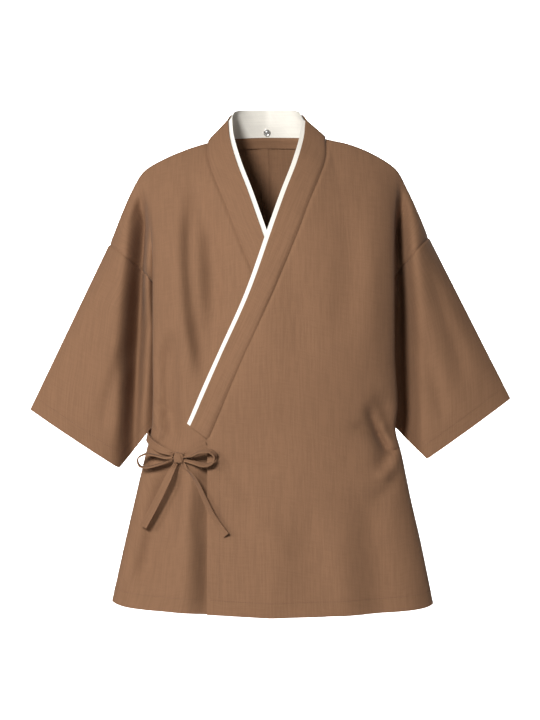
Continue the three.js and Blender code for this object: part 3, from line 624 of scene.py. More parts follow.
def cloth_sheet(name, points, uv, thickness, material):
    """A sheet of cloth from rows of places in millimetres, given its thickness about them."""
    rows, columns = points.shape[:2]
    bpy.ops.object.select_all(action="DESELECT")
    bpy.ops.mesh.primitive_grid_add(x_subdivisions=columns - 1, y_subdivisions=rows - 1, size=1)
    sheet = bpy.context.object
    sheet.name = sheet.data.name = name
    mesh = sheet.data
    if len(mesh.vertices) != rows * columns:
        raise RuntimeError(f"{name}: the grid has {len(mesh.vertices)} places, not {rows * columns}")
    mesh.vertices.foreach_set("co", (points * MM).reshape(-1))
    lay_on_cut(mesh, uv.reshape(-1, 2) * MM)
    wall = sheet.modifiers.new("wall", "SOLIDIFY")
    wall.thickness = thickness * MM
    wall.offset = 0
    wall.use_even_offset = False
    bpy.ops.object.modifier_apply(modifier=wall.name)
    finish_piece(sheet, material)
    return sheet


def finish_piece(piece, material, angle=50):
    """Gives a piece its material and smooth shading, with its place kept in its mesh."""
    bpy.ops.object.select_all(action="DESELECT")
    piece.select_set(True)
    bpy.context.view_layer.objects.active = piece
    bpy.ops.object.transform_apply(location=True, rotation=True, scale=True)
    bpy.ops.object.shade_smooth_by_angle(angle=math.radians(angle))
    piece.data.materials.clear()
    piece.data.materials.append(material)
    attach(piece, "root")


class Value:
    """A socket of a material's shader that can be used in plain expressions."""

    def __init__(self, nodes, socket):
        self.nodes = nodes
        self.socket = socket

    def _math(self, operation, first, second):
        return self.nodes.add("ShaderNodeMath", {"operation": operation}, {0: first, 1: second})

    def __add__(self, other):
        return self._math("ADD", self, other)

    __radd__ = __add__

    def __sub__(self, other):
        return self._math("SUBTRACT", self, other)

    def __rsub__(self, other):
        return self._math("SUBTRACT", other, self)

    def __mul__(self, other):
        return self._math("MULTIPLY", self, other)

    __rmul__ = __mul__

    def sine(self):
        return self._math("SINE", self, 0.0)


class Shader:
    """The nodes of one material."""

    def __init__(self, name):
        self.material = bpy.data.materials.new(name)
        self.material.use_nodes = True
        self.tree = self.material.node_tree
        self.surface = self.tree.nodes["Principled BSDF"]

    def add(self, kind, settings=None, inputs=None, output=0):
        """Adds a node of a kind, with its settings first and then its sockets' values or links."""
        node = self.tree.nodes.new(kind)
        for name, value in (settings or {}).items():
            setattr(node, name, value)
        for key, value in (inputs or {}).items():
            if isinstance(value, Value):
                self.tree.links.new(value.socket, node.inputs[key])
            else:
                node.inputs[key].default_value = value
        return Value(self, node.outputs[output])

    def set(self, **values):
        """Sets or links the surface's own sockets, named with underscores for spaces."""
        for name, value in values.items():
            socket = self.surface.inputs[name.replace("_", " ")]
            if isinstance(value, Value):
                self.tree.links.new(value.socket, socket)
            else:
                socket.default_value = value

    def vector(self, x, y, z=0.0):
        return self.add("ShaderNodeCombineXYZ", None, {0: x, 1: y, 2: z})

    def noise(self, place, scale=1.0, detail=2.0, roughness=0.5):
        return self.add("ShaderNodeTexNoise", None, {
            "Vector": place, "Scale": scale, "Detail": detail, "Roughness": roughness})

    def ramp(self, value, low, high):
        return self.add("ShaderNodeMapRange", {"interpolation_type": "SMOOTHSTEP"}, {
            "Value": value, "From Min": low, "From Max": high})

    def blend(self, part, first, second):
        """Mixes two colours, each a value or a link."""
        return self.add("ShaderNodeMix", {"data_type": "RGBA"}, {0: part, 6: first, 7: second}, output=2)

    def place(self):
        """The place on the piece itself, in metres."""
        return self.add("ShaderNodeTexCoord", output=3)

    def cut(self):
        """The place on the flat cut cloth in metres, as its width and its length."""
        place = self.add("ShaderNodeUVMap", {"uv_map": "cut"})
        across = self.add("ShaderNodeSeparateXYZ", None, {0: place}, output=0)
        down = self.add("ShaderNodeSeparateXYZ", None, {0: place}, output=1)
        return across, down


def linear(colour, share=1.0):
    """A colour and its alpha, lighter or darker by a share."""
    return tuple(min(part * share, 1.0) for part in colour) + (1.0,)


def woven_cloth(name, colour, pitch, streaks, relief):
    """Plain-woven cloth: threads of uneven thickness, streaks along the warp and a soft mottling."""
    shader = Shader(name)
    across, down = shader.cut()
    drift = shader.noise(shader.vector(across * 26.0, down * 26.0), 1.0, 2.0)
    across = across + (drift - 0.5) * 0.0012
    down = down + (drift - 0.5) * 0.0010
    streak = shader.noise(shader.vector(across * 400.0, down * 18.0), 1.0, 2.0, 0.6)
    broad = shader.noise(shader.vector(across * 80.0, down * 2.5), 1.0, 2.0)
    slub = shader.ramp(shader.noise(shader.vector(across * 520.0, down * 46.0, 3.0), 1.0, 1.0), 0.60, 0.74)
    pick = shader.noise(shader.vector(across * 40.0, down * 420.0, 7.0), 1.0, 2.0)
    mottle = shader.noise(shader.place(), 9.0, 3.0)
    tone = streak * 0.9 + broad * 0.25 + pick * 0.4 + mottle * 0.12 - 0.335
    dark = linear(colour, 1 - streaks)
    light = linear(colour, 1 + streaks)
    warp = shader.blend(shader.ramp(tone, 0.33, 0.67), dark, light)
    shade = shader.blend(slub * 0.45, warp, linear(colour, 1 + 1.7 * streaks))
    threads = 2 * math.pi / pitch
    weave = (across * threads).sine() * (down * threads).sine()
    height = weave * 0.28 + streak * 0.9 + slub * 0.8 + pick * 0.35
    bump = shader.add("ShaderNodeBump", None, {"Strength": relief, "Distance": 0.0004, "Height": height})
    shader.set(Base_Color=shade, Roughness=streak * 0.12 + 0.74, Normal=bump, Sheen_Weight=0.04,
               Sheen_Roughness=0.5, Specular_IOR_Level=0.11)
    return shader.material


def grained(name, colour, scale, detail, tones, roughness, rougher=0.0, metallic=0.0):
    """A surface with a fine grain, which its tone follows, and its roughness where rougher says by how much."""
    shader = Shader(name)
    grain = shader.noise(shader.place(), scale, detail)
    dark, light = (linear(colour, share) for share in tones)
    if rougher:
        roughness = grain * rougher + roughness
    shader.set(Base_Color=shader.blend(grain, dark, light), Roughness=roughness, Metallic=metallic)
    return shader.material


def material(name):
    """The jacket's materials, each made once."""
    if name not in bpy.data.materials:
        colours = bpy.context.scene.samue_colours
        pitch = bpy.context.scene.samue_sizes.thread_pitch
        makers = {
            "woven_brown": lambda: woven_cloth(name, colours.brown, pitch, 0.06, 0.28),
            "woven_ivory": lambda: woven_cloth(name, colours.ivory, pitch * 0.7, 0.03, 0.3),
            "turned_metal": lambda: grained(
                name, colours.metal, 900.0, 2.0, (0.85, 1.1), 0.26, 0.15, metallic=1.0),
            "sewing_thread": lambda: grained(name, colours.thread, 1400.0, 1.0, (0.75, 1.15), 0.6, 0.2),
            "stage_paper": lambda: grained(name, colours.stage, 6.0, 3.0, (0.995, 1.0), 0.9),
        }
        makers[name]()
    return bpy.data.materials[name]


def cut_places(points, start_u):
    """Where each point lies on the flat cut cloth, measured down from the shoulder and across from start_u."""
    across = start_u[:, None] + distances(points, 1)
    down = distances(points, 0) - points[0, :, 2][None, :]
    return np.stack([across, down], axis=-1)


def front_rows(own_side):
    """A front's places and normals, from its inner edge out to the sleeve and side seams."""
    edge = front_edge_across(own_side, ROWS)
    across = mix(edge[:, None], own_side, COLUMNS[None, :])
    down = np.broadcast_to(ROWS[:, None], across.shape)
    return front_point(own_side, across, down), body_normal(-1, across, down)


def sew_down(points, normals, seam_rows, depth):
    """Sinks a panel's borders at its seams, the inner one for some rows only, and leaves a hair's gap outside."""
    points[:, :] = sink_seam(points, normals, distances(points, 0))
    from_side = distances(points[:, ::-1], 1)[:, ::-1]
    points[:, :] = sink_seam(points, normals, from_side)
    sewn = points[:seam_rows]
    points[:seam_rows] = sink_seam(sewn, normals[:seam_rows], distances(sewn, 1), depth)
    draw_back(points, 0, 1, SEAM_GAP / 2)
    draw_back(points, LAST_COLUMN, COLUMN_BEFORE_LAST, SEAM_GAP / 2)


def make_front(own_side, thickness):
    points, normals = front_rows(own_side)
    collar_rows = int(np.sum(ROWS < COLLAR_END_ROW))
    sew_down(points, normals, collar_rows, FRONT_SEAM_PULL)
    name = "front_left" if own_side > 0 else "front_right"
    uv = cut_places(points, points[:, 0, 0] * own_side)
    return declared(cloth_sheet(name, points, uv, thickness, material("woven_brown")), name)


def declared(piece, name):
    """Hides the CAD node that a piece of cloth stands for, and gives the piece back."""
    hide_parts(name)
    return piece


def back_columns():
    neck = NECK_ACROSS * np.sin(math.pi / 2 * np.arange(22) / 22)
    neck = np.insert(neck, 1, [0.004, 0.009, 0.016])
    return np.concatenate([neck, mix(NECK_ACROSS, 1, COLUMNS[4:])])


def make_back(side, thickness):
    across = np.broadcast_to(side * back_columns(), (len(ROWS), len(back_columns())))
    across = np.where(across == 0, side * 1e-9, across)
    down = np.broadcast_to(ROWS[:, None], across.shape)
    points = body_point(1, across, down)
    normals = body_normal(1, across, down)
    sew_down(points, normals, len(points), SEAM_PULL)
    draw_back(points, FIRST_COLUMN, SECOND_COLUMN, SEAM_GAP / 2)
    name = "back_left" if side > 0 else "back_right"
    uv = cut_places(points, np.zeros(len(points)))
    return declared(cloth_sheet(name, points, uv, thickness, material("woven_brown")), name)


def sleeve_rows(side):
    """A sleeve's places and normals: one row round the arm for each step from armhole to cuff."""
    rounds = np.append(ROWS[:YOKE_ROWS], 1.0)
    start = [-0.02, -0.008, 0.002, 0.007, 0.014, 0.022, 0.034]
    along = np.concatenate([start, np.linspace(0.05, 0.97, 72), [0.985, 1.0]])[:, None]
    pieces = []
    for face, ring in ((-1, rounds[::-1]), (1, rounds[1:])):
        ring = np.broadcast_to(ring[None, :], (len(along), len(ring)))
        steps = np.broadcast_to(along, ring.shape)
        points = sleeve_point(face, side, ring, steps)
        normals = sleeve_normal(face, side, ring, np.maximum(steps, 0))
        tucked = TUCK * ease((TUCK_END - steps) / TUCK_FADE)
        points = points - normals * tucked[..., None]
        pieces.append((points, normals))
    points = np.concatenate([piece[0] for piece in pieces], axis=1)
    normals = np.concatenate([piece[1] for piece in pieces], axis=1)
    return points, normals


def make_sleeve(side, thickness):
    points, normals = sleeve_rows(side)
    draw_back(points, FIRST_COLUMN, SECOND_COLUMN, SEAM_GAP / 2)
    draw_back(points, LAST_COLUMN, COLUMN_BEFORE_LAST, SEAM_GAP / 2)
    name = "sleeve_left" if side > 0 else "sleeve_right"
    across = distances(points, 1)
    uv = np.stack([across - across.mean(), distances(points, 0)], axis=-1)
    return declared(cloth_sheet(name, points, uv, thickness, material("woven_brown")), name)


def collar_stations():
    """The collar's seam, its normals, its free edge and how far it lies on the chest, station by station."""
    down = ROWS[ROWS <= COLLAR_END_ROW + 1e-9]
    turns = np.sin(math.pi / 2 * np.arange(21, -1, -1) / 22)
    parts = []
    for own_side in (1, -1):
        edge = front_edge_across(own_side, down)
        seam = front_point(own_side, edge, down)
        normal = body_normal(-1, edge, down)
        free_x = NECK_CENTRE_X + own_side * read_table(COLLAR_ON_CHEST, "seamZ", "freeX", seam[:, 2])
        free_z = read_table(COLLAR_ON_CHEST, "seamZ", "freeZ", seam[:, 2])
        neck = COLLAR_ROUND_NECK[-1]
        chest = ease(-free_z / COLLAR_SETTLE)
        standing_y = neck["y"] - COLLAR_LEAN * (neck["z"] - free_z)
        free_y = mix(standing_y, front_behind(own_side, free_x, free_z)[:, 1], chest)
        front = (seam, normal, stacked(free_x, free_y, free_z), chest, np.full(len(down), own_side))
        across = own_side * NECK_ACROSS * turns
        across = np.where(across == 0, own_side * 1e-9, across)
        free = stacked(
            NECK_CENTRE_X + own_side * read_table(COLLAR_ROUND_NECK, "turn", "x", turns),
            read_table(COLLAR_ROUND_NECK, "turn", "y", turns),
            read_table(COLLAR_ROUND_NECK, "turn", "z", turns),
        )
        neck = (top_point(1, across), body_normal(1, across, np.zeros(len(turns))), free,
                np.zeros(len(turns)), np.full(len(turns), own_side))
        if own_side > 0:
            parts += [tuple(column[::-1] for column in front), neck]
        else:
            parts += [tuple(column[:-1][::-1] for column in neck), front]
    return [np.concatenate([part[i] for part in parts]) for i in range(5)]


def collar_places(width_parts, overhang):
    """Rows of places from the collar seam to its free edge and past it, with their normals."""
    seam, _, free, chest, own_side = collar_stations()
    columns = []
    for part, past in zip(width_parts, overhang):
        point = mix(seam, free, part)
        for side in (-1, 1):
            here = (own_side == side) & (chest > 0)
            behind = front_behind(side, point[here, 0], point[here, 2])[:, 1]
            point[here, 1] = mix(point[here, 1], behind, chest[here])
        columns.append(point + unit(free - seam) * past)
    points = np.stack(columns, axis=1)
    along = np.gradient(points, axis=0)
    wide = np.gradient(points, axis=1)
    return points, unit(np.cross(along, wide))


def make_collar(thickness):
    parts = np.array([0, 0.03, 0.08, 0.17, 0.3, 0.45, 0.6, 0.75, 0.88, 0.96, 1.0])
    points, normals = collar_places(parts, np.zeros(len(parts)))
    away = distances(points, 1)
    points = sink_seam(points, normals, away, COLLAR_PULL, COLLAR_PULL_WIDTH)
    length = distances(points, 0)
    raised = ease(parts / 0.12) * (1 - 0.6 * parts)
    crown = raised[None, :] * (0.9 + 0.2 * np.sin(length / 37) + 0.15 * np.sin(length / 17 + 1))
    points += normals * crown[..., None]
    draw_back(points, FIRST_COLUMN, SECOND_COLUMN, COLLAR_GAP)
    uv = np.stack([away, length], axis=-1)
    return declared(cloth_sheet("collar", points, uv, thickness, material("woven_brown")), "collar")


def make_lining(thickness):
    parts = np.concatenate([np.linspace(LINING_START, 1, 9), np.ones(4)])
    overhang = np.concatenate([np.zeros(9), LINING_SHOW * np.array([0.3, 0.6, 0.85, 1.0])])
    points, normals = collar_places(parts, overhang)
    points = points - normals * LINING_DEPTH
    length = distances(points, 0)
    uv = np.stack([distances(points, 1), length], axis=-1)
    sheet = cloth_sheet("collar_lining", points, uv, thickness, material("woven_ivory"))
    return declared(sheet, "collar_lining")


def smooth_route(places, steps):
    """Places and directions along a smooth curve through a ribbon's route."""
    route = np.array(places, float)
    route = np.vstack([2 * route[0] - route[1], route, 2 * route[-1] - route[-2]])
    spans = len(places) - 1
    points = []
    for step in range(steps + 1):
        place = min(step / steps * spans, spans - 1e-9)
        index = int(place)
        t = place - index
        p0, p1, p2, p3 = route[index:index + 4]
        d0, d1, d2 = (np.linalg.norm(b - a) ** 0.5 for a, b in ((p0, p1), (p1, p2), (p2, p3)))
        start = ((p1 - p0) / d0 - (p2 - p0) / (d0 + d1) + (p2 - p1) / d1) * d1
        end = ((p2 - p1) / d1 - (p3 - p1) / (d1 + d2) + (p3 - p2) / d2) * d1
        bend = 3 * (p2 - p1) - 2 * start - end
        turn = start + end - 2 * (p2 - p1)
        points.append(p1 + t * (start + t * (bend + t * turn)))
    points = np.array(points)
    return points, unit(np.gradient(points, axis=0))


def make_ribbon(name, width, thickness):
    """One ribbon of the bow, gathered where it goes into the knot."""
    across, gathered, route = RIBBONS[name]
    centre, tangent = smooth_route(route, (len(route) - 1) * 9)
    t = np.linspace(0, 1, len(centre))
    wide = unit(np.array(across, float) - tangent * (tangent @ np.array(across, float))[:, None])
    thick = unit(np.cross(tangent, wide))
    turn = (TWISTS.get(name, 0.0) * (1 - 0.6 * ease(t)) * ease(t / 0.12))[:, None]
    wide, thick = wide * np.cos(turn) + thick * np.sin(turn), thick * np.cos(turn) - wide * np.sin(turn)
    pull = np.maximum(gathered[0] * (1 - ease(t / 0.25)), gathered[1] * (1 - ease((1 - t) / 0.25)))
    half = width / 2 * (1 - 0.5 * pull)
    parts = np.linspace(-1, 1, 9)
    pleat = 0.6 * pull[:, None] * np.cos(parts * 2.5 * math.pi)[None, :]
    cup = 0.35 * (parts ** 2)[None, :] * (1 - pull)[:, None]
    wave = 0.35 * np.sin(t * 9 + len(name))[:, None] * (1 - pull)[:, None] * parts[None, :]
    points = (centre[:, None, :] + wide[:, None, :] * (half[:, None] * parts[None, :])[..., None]
              + thick[:, None, :] * (pleat + cup + wave)[..., None])
    length = distances(points, 0)
    uv = np.stack([np.broadcast_to(parts * width / 2, length.shape), length], axis=-1)
    ribbon = cloth_sheet(name, points, uv, thickness, material("woven_brown"))
    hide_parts(name)
    return ribbon


def make_knot():
    """The knot: a tight turn of ribbon over a squarish core, creased where it is pulled in."""
    bpy.ops.object.select_all(action="DESELECT")
    bpy.ops.mesh.primitive_uv_sphere_add(segments=48, ring_count=32, radius=1)
    knot = bpy.context.object
    knot.name = knot.data.name = "bow_knot"
    mesh = knot.data
    places = np.empty(len(mesh.vertices) * 3)
    mesh.vertices.foreach_get("co", places)
    places = places.reshape(-1, 3)
    squared = np.sign(places) * np.abs(places) ** 0.8
    squared /= np.maximum(np.abs(squared).max(axis=1, keepdims=True) ** 0.35, 1e-6)
    squared /= np.abs(squared).max()
    x, y, z = places.T
    band = np.exp(-((x * 0.9 + z * 0.35) / 0.42) ** 4)
    crease = (0.10 * np.exp(-((x * 0.9 + z * 0.35 - 0.42) / 0.09) ** 2)
              + 0.10 * np.exp(-((x * 0.9 + z * 0.35 + 0.42) / 0.09) ** 2)
              + 0.05 * np.exp(-((x + 0.25 * z - 0.08) / 0.07) ** 2) + 0.04 * np.sin(9 * z + 3 * x) * (1 - band))
    size = (0.93 + 0.09 * band - crease)[:, None]
    placed = squared * size * np.array(KNOT["half"]) + np.array(KNOT["centre"])
    mesh.vertices.foreach_set("co", (placed * MM).reshape(-1))
    lay_on_cut(mesh, np.stack([placed[:, 0], placed[:, 2] + placed[:, 1]], axis=-1) * MM)
    finish_piece(knot, material("woven_brown"), angle=80)
    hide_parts("bow_knot")
    return knot


def make_snap():
    """The closed snap on the lining: a domed disc with a raised rim and a dimple."""
    seam = top_point(1, np.array([0.0]))[0]
    top = COLLAR_ROUND_NECK[0]
    part = (SNAP["z"] - seam[2]) / (top["z"] - seam[2])
    tilt = math.atan2(seam[1] - top["y"], top["z"] - seam[2])
    inward = LINING_DEPTH + 0.5 + SNAP["clearance"] + SNAP["height"] / 2
    y = mix(seam[1], top["y"], part) - inward * math.cos(tilt)
    z = SNAP["z"] - inward * math.sin(tilt)
    bpy.ops.object.select_all(action="DESELECT")
    bpy.ops.mesh.primitive_cylinder_add(vertices=48, radius=SNAP["radius"] * MM, depth=SNAP["height"] * MM)
    snap = bpy.context.object
    snap.name = snap.data.name = "collar_snap"
    bpy.ops.object.mode_set(mode="EDIT")
    bpy.ops.mesh.select_mode(type="FACE")
    bpy.ops.mesh.select_all(action="DESELECT")
    bpy.ops.object.mode_set(mode="OBJECT")
    for face in snap.data.polygons:
        face.select = face.normal.z > 0.9
    bpy.ops.object.mode_set(mode="EDIT")
    bpy.ops.mesh.inset(thickness=0.9 * MM)
    bpy.ops.mesh.inset(thickness=0.5 * MM, depth=-0.6 * MM)
    bpy.ops.mesh.inset(thickness=1.5 * MM, depth=0.0)
    bpy.ops.mesh.inset(thickness=0.4 * MM, depth=0.35 * MM)
    bpy.ops.object.mode_set(mode="OBJECT")
    bevel = snap.modifiers.new("rim", "BEVEL")
    bevel.width = 0.22 * MM
    bevel.segments = 3
    bpy.ops.object.modifier_apply(modifier=bevel.name)
    turn = Matrix.Rotation(math.pi / 2 + tilt, 4, "X")
    snap.matrix_world = Matrix.Translation(Vector((NECK_CENTRE_X, y, z)) * MM) @ turn
    finish_piece(snap, material("turned_metal"), angle=40)
    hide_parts("collar_snap")
    return snap


def make_allowance(name, points):
    """A pressed seam allowance that shows inside the back."""
    uv = np.stack([distances(points, 1), distances(points, 0)], axis=-1)
    strip = cloth_sheet(name, points, uv, ALLOWANCE_CLOTH, material("woven_brown"))
    return strip


def make_centre_allowance(depth):
    """The centre back's allowance, pressed to the wearer's right, just inside the back."""
    down = np.linspace(0.012, 1.97, 90)
    tried = np.linspace(-0.25, 0.08, 240)
    tried_x = body_point(1, tried[None, :], down[:, None])[..., 0]
    middle_x = body_point(1, np.zeros(1), down[:, None])[..., 0]
    wanted_x = middle_x + np.linspace(*ALLOWANCE_REACH, 7)[None, :]
    across = np.array([np.interp(wanted, row, tried) for wanted, row in zip(wanted_x, tried_x)])
    down = np.broadcast_to(down[:, None], across.shape)
    points = body_point(1, across, down) - body_normal(1, across, down) * depth
    return make_allowance("centre_back_allowance", points)


def make_neck_allowance(depth):
    """The collar seam's allowance, turned down inside the back neck."""
    across = np.linspace(-0.36, 0.36, 60)[:, None]
    down = np.linspace(0.0, 0.052, 8)[None, :]
    across, down = np.broadcast_arrays(across, down)
    points = body_point(1, across, down) - body_normal(1, across, down) * depth
    up = points[:, :1] + np.array([0, 0, 1]) * np.array([6.0, 3.0])[None, :, None]
    points = np.concatenate([up, points], axis=1)
    return make_allowance("neck_seam_allowance", points)


def stitch_line(name, points, normals, pitch=3.4, length=2.5, girth=0.32, lift=0.8):
    """A row of stitches along places on the cloth, each one a copy of the first."""
    bpy.ops.object.select_all(action="DESELECT")
    bpy.ops.mesh.primitive_uv_sphere_add(segments=6, ring_count=4, radius=1)
    first = bpy.context.object
    run = distances(points, 0)
    count = int(run[-1] / pitch)
    places = (np.arange(count) + 0.5) * run[-1] / count
    stitches = []
    for place in places:
        index = min(int(np.searchsorted(run, place)), len(run) - 1)
        part = (place - run[index - 1]) / max(run[index] - run[index - 1], 1e-9)
        point = Vector(mix(points[index - 1], points[index], part))
        normal = Vector(mix(normals[index - 1], normals[index], part)).normalized()
        along = Vector(points[index] - points[index - 1]).normalized()
        side = normal.cross(along).normalized()
        turn = Matrix((along, side, normal)).transposed().to_4x4()
        size = Matrix.Diagonal((length / 2, girth, girth * 0.8, 1))
        stitch = first.copy()
        stitch.data = first.data.copy()
        stitch.data.transform(Matrix.Scale(MM, 4) @ Matrix.Translation(point + normal * lift) @ turn @ size)
        bpy.context.collection.objects.link(stitch)
        stitches.append(stitch)
    bpy.data.objects.remove(first)
    for stitch in stitches:
        stitch.select_set(True)
    bpy.context.view_layer.objects.active = stitches[0]
    bpy.ops.object.join()
    line = bpy.context.object
    line.name = line.data.name = name
    finish_piece(line, material("sewing_thread"), angle=80)
    return line


def hem_places(face, own_side, start, end, down):
    across = np.linspace(start, end, 160)
    rows = np.full(across.shape, down)
    if face < 0:
        return front_point(own_side, across, rows), body_normal(-1, across, rows)
    return body_point(1, across, rows), body_normal(1, across, rows)


class SamueSizes(bpy.types.PropertyGroup):
    """Sizes of the jacket's cloth."""

    cloth: bpy.props.FloatProperty(
        name="Cloth", description="Thickness of the jacket's cloth", default=0.0015, unit="LENGTH", min=0.0005)
    neckband: bpy.props.FloatProperty(
        name="Neckband", description="Thickness of the folded neckband", default=0.002, unit="LENGTH", min=0.001)
    lining: bpy.props.FloatProperty(
        name="Lining", description="Thickness of the neckband's pale lining", default=0.001, unit="LENGTH",
        min=0.0005)
    tie_width: bpy.props.FloatProperty(
        name="Tie width", description="Width of the ties", default=0.011, unit="LENGTH", min=0.005)
    tie_cloth: bpy.props.FloatProperty(
        name="Tie thickness", description="Thickness of the folded ties", default=0.0018, unit="LENGTH",
        min=0.0005)
    thread_pitch: bpy.props.FloatProperty(
        name="Thread pitch", description="Width of two neighbouring threads of the weave", default=0.0012,
        unit="LENGTH", min=0.0003)
    floor_z: bpy.props.FloatProperty(
        name="Floor", description="Height of the stage's floor", default=-3.0, unit="LENGTH")


class SamueColours(bpy.types.PropertyGroup):
    """Colours of the jacket and its stage."""

    brown: bpy.props.FloatVectorProperty(
        name="Brown cloth", description="Colour of the jacket's cloth", default=(0.200, 0.106, 0.058),
        subtype="COLOR", min=0, max=1)
    ivory: bpy.props.FloatVectorProperty(
        name="Ivory cloth", description="Colour of the neckband's lining", default=(0.79, 0.755, 0.68),
        subtype="COLOR", min=0, max=1)
    thread: bpy.props.FloatVectorProperty(
        name="Thread", description="Colour of the sewing thread", default=(0.13, 0.06, 0.028), subtype="COLOR",
        min=0, max=1)
    metal: bpy.props.FloatVectorProperty(
        name="Snap metal", description="Colour of the snap", default=(0.82, 0.81, 0.78), subtype="COLOR",
        min=0, max=1)
    stage: bpy.props.FloatVectorProperty(
        name="Stage", description="Colour of the floor and backdrop", default=(0.8, 0.8, 0.8), subtype="COLOR",
        min=0, max=1)


class SAMUE_OT_backs(bpy.types.Operator):
    """Makes the two back panels and the seam allowances that show inside them"""

    bl_idname = "samue.backs"
    bl_label = "Back panels"

    def execute(self, context):
        cloth = context.scene.samue_sizes.cloth / MM
        for side in (1, -1):
            make_back(side, cloth)
        make_centre_allowance(cloth / 2 + 1.3)
        make_neck_allowance(cloth / 2 + 2.2)
        return {"FINISHED"}


class SAMUE_OT_fronts(bpy.types.Operator):
    """Makes the over front and the under front"""

    bl_idname = "samue.fronts"
    bl_label = "Fronts"

    def execute(self, context):
        cloth = context.scene.samue_sizes.cloth / MM
        for own_side in (1, -1):
            make_front(own_side, cloth)
        return {"FINISHED"}


class SAMUE_OT_sleeves(bpy.types.Operator):
    """Makes both sleeves"""

    bl_idname = "samue.sleeves"
    bl_label = "Sleeves"

    def execute(self, context):
        cloth = context.scene.samue_sizes.cloth / MM
        for side in (1, -1):
            make_sleeve(side, cloth)
        return {"FINISHED"}


class SAMUE_OT_neckband(bpy.types.Operator):
    """Makes the brown neckband, its ivory lining and the snap at the back"""

    bl_idname = "samue.neckband"
    bl_label = "Neckband"

    def execute(self, context):
        sizes = context.scene.samue_sizes
        make_collar(sizes.neckband / MM)
        make_lining(sizes.lining / MM)
        make_snap()
        return {"FINISHED"}


class SAMUE_OT_bow(bpy.types.Operator):
    """Makes the knot, loops, tails and ties of the bow"""

    bl_idname = "samue.bow"
    bl_label = "Tied bow"

    def execute(self, context):
        sizes = context.scene.samue_sizes
        make_knot()
        for name in RIBBONS:
            make_ribbon(name, sizes.tie_width / MM, sizes.tie_cloth / MM)
        return {"FINISHED"}


class SAMUE_OT_stitching(bpy.types.Operator):
    """Sews the hems of the body, the cuffs and the over front's edge"""

    bl_idname = "samue.stitching"
    bl_label = "Stitching"

    def execute(self, context):
        hem = 1.955
        edge = float(front_edge_across(1, np.array([hem]))[0])
        lift = context.scene.samue_sizes.cloth / MM / 2 + 0.05
        stitch_line("hem_stitches_over_front", *hem_places(-1, 1, edge + 0.01, 0.995, hem), lift=lift)
        stitch_line("hem_stitches_under_front", *hem_places(-1, -1, -0.995, edge - 0.02, hem), lift=lift)
        stitch_line("hem_stitches_back", *hem_places(1, 1, -0.995, 0.995, hem), lift=lift)
        for side, name in ((1, "left"), (-1, "right")):
            rounds = np.linspace(0.004, 0.996, 150)
            along = np.full(rounds.shape, 0.926)
            front = sleeve_point(-1, side, rounds[::-1], along), sleeve_normal(-1, side, rounds[::-1], along)
            back = sleeve_point(1, side, rounds, along), sleeve_normal(1, side, rounds, along)
            points, normals = (np.concatenate(pair) for pair in zip(front, back))
            stitch_line(f"cuff_stitches_{name}", points, normals, lift=lift)
        z = np.linspace(-478, -696, 120)
        x = np.full(z.shape, NECK_CENTRE_X + FRONT_EDGE + 18.0)
        points = front_behind(1, x, z)
        normals = unit(np.stack([np.zeros(len(z)), -np.ones(len(z)), np.zeros(len(z))], axis=-1))
        stitch_line("front_edge_stitches", points, normals, lift=lift)
        return {"FINISHED"}


# The lights: name, place, width, power and the place it is aimed at
LIGHTS = (
    ("key_light", (-3.1, -2.4, 0.7), 1.3, 52, (0, 0, -0.35)),
    ("front_light", (-1.4, -3.9, 1.2), 1.0, 215, (0, 0, -0.35)),
    ("back_light", (1.4, 3.2, 0.9), 1.6, 80, (0, 0, -0.35)),
    ("backdrop_light", (0, 4.5, 1.8), 3.0, 950, (0, 9, -0.6)),
)
ROOM_LIGHT = 0.13

# The stage, in metres: one sheet that is the floor, bends up and goes on as the backdrop. The bend begins and ends
# at shares of the sheet, and WALL_RISE is the height that the whole sheet would reach at the wall's slope.
STAGE_HALF_WIDTH = 16.0
STAGE_FRONT_Y = -16
STAGE_BACK_Y = 7
BEND_RADIUS = 2
BEND_START = 0.45
BEND_END = 0.65
WALL_RISE = 16


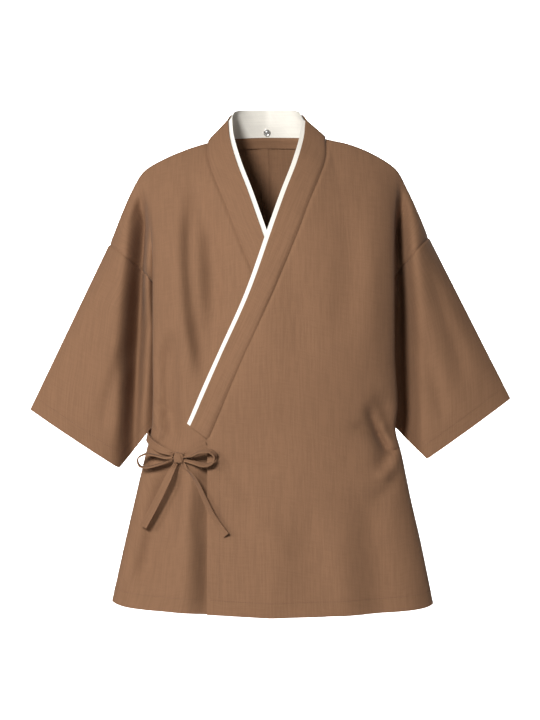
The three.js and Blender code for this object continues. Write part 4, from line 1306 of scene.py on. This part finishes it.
class SAMUE_OT_stage(bpy.types.Operator):
    """Sets the floor, the backdrop, the lights and the camera"""

    bl_idname = "samue.stage"
    bl_label = "Stage"

    def execute(self, context):
        floor_z = context.scene.samue_sizes.floor_z
        bpy.ops.object.select_all(action="DESELECT")
        bpy.ops.mesh.primitive_grid_add(x_subdivisions=2, y_subdivisions=60, size=1)
        floor = context.object
        floor.name = floor.data.name = "stage_floor"
        rise = np.linspace(0, 1, 61)
        bend = np.clip((rise - BEND_START) / (BEND_END - BEND_START), 0, 1) * math.pi / 2
        floor_y = STAGE_FRONT_Y + rise / BEND_START * (STAGE_BACK_Y - STAGE_FRONT_Y)
        y = np.where(rise < BEND_START, floor_y, STAGE_BACK_Y + BEND_RADIUS * np.sin(bend))
        z = floor_z + BEND_RADIUS * (1 - np.cos(bend)) + np.maximum(rise - BEND_END, 0) * WALL_RISE
        x = np.array([-STAGE_HALF_WIDTH, 0.0, STAGE_HALF_WIDTH])
        points = np.stack([np.tile(x, 61), np.repeat(y, 3), np.repeat(z, 3)], axis=-1)
        floor.data.vertices.foreach_set("co", points.reshape(-1))
        floor.data.update()
        bpy.ops.object.shade_smooth()
        floor.data.materials.append(material("stage_paper"))
        for name, place, size, power, target in LIGHTS:
            bpy.ops.object.light_add(type="AREA", location=place)
            light = context.object
            light.name = light.data.name = name
            light.data.energy = power
            light.data.shape = "DISK"
            light.data.size = size
            light.rotation_euler = (Vector(target) - Vector(place)).to_track_quat("-Z", "Y").to_euler()
        world = bpy.data.worlds.new("pale_room")
        world.use_nodes = True
        background = world.node_tree.nodes["Background"]
        background.inputs["Color"].default_value = (1, 1, 1, 1)
        background.inputs["Strength"].default_value = ROOM_LIGHT
        context.scene.world = world
        context.scene.view_settings.view_transform = "Standard"
        bpy.ops.object.camera_add(location=(0, -3.4, -0.341), rotation=(math.pi / 2, 0, 0))
        camera = context.object
        camera.name = camera.data.name = "photo_camera"
        camera.data.sensor_width = 36
        camera.data.lens = 109.7
        camera.data.dof.use_dof = False
        context.scene.camera = camera
        return {"FINISHED"}


class SAMUE_PT_panel(bpy.types.Panel):
    """Lists the jacket's pieces, sizes and colours"""

    bl_idname = "SAMUE_PT_panel"
    bl_label = "Samue jacket"
    bl_space_type = "VIEW_3D"
    bl_region_type = "UI"
    bl_category = "Samue jacket"

    def draw(self, context):
        for group in (context.scene.samue_sizes, context.scene.samue_colours):
            for name in group.__annotations__:
                self.layout.prop(group, name)
        for operator in OPERATORS:
            self.layout.operator(operator.bl_idname)


OPERATORS = (
    SAMUE_OT_backs, SAMUE_OT_fronts, SAMUE_OT_sleeves, SAMUE_OT_neckband, SAMUE_OT_bow, SAMUE_OT_stitching,
    SAMUE_OT_stage,
)
CLASSES = (SamueSizes, SamueColours, *OPERATORS, SAMUE_PT_panel)


def register():
    for cls in CLASSES:
        bpy.utils.register_class(cls)
    bpy.types.Scene.samue_sizes = bpy.props.PointerProperty(type=SamueSizes)
    bpy.types.Scene.samue_colours = bpy.props.PointerProperty(type=SamueColours)


def unregister():
    del bpy.types.Scene.samue_colours
    del bpy.types.Scene.samue_sizes
    for cls in reversed(CLASSES):
        bpy.utils.unregister_class(cls)


def main():
    register()
    bpy.ops.samue.backs()
    bpy.ops.samue.fronts()
    bpy.ops.samue.sleeves()
    bpy.ops.samue.neckband()
    bpy.ops.samue.bow()
    bpy.ops.samue.stitching()
    bpy.ops.samue.stage()


if __name__ == "__main__":
    main()
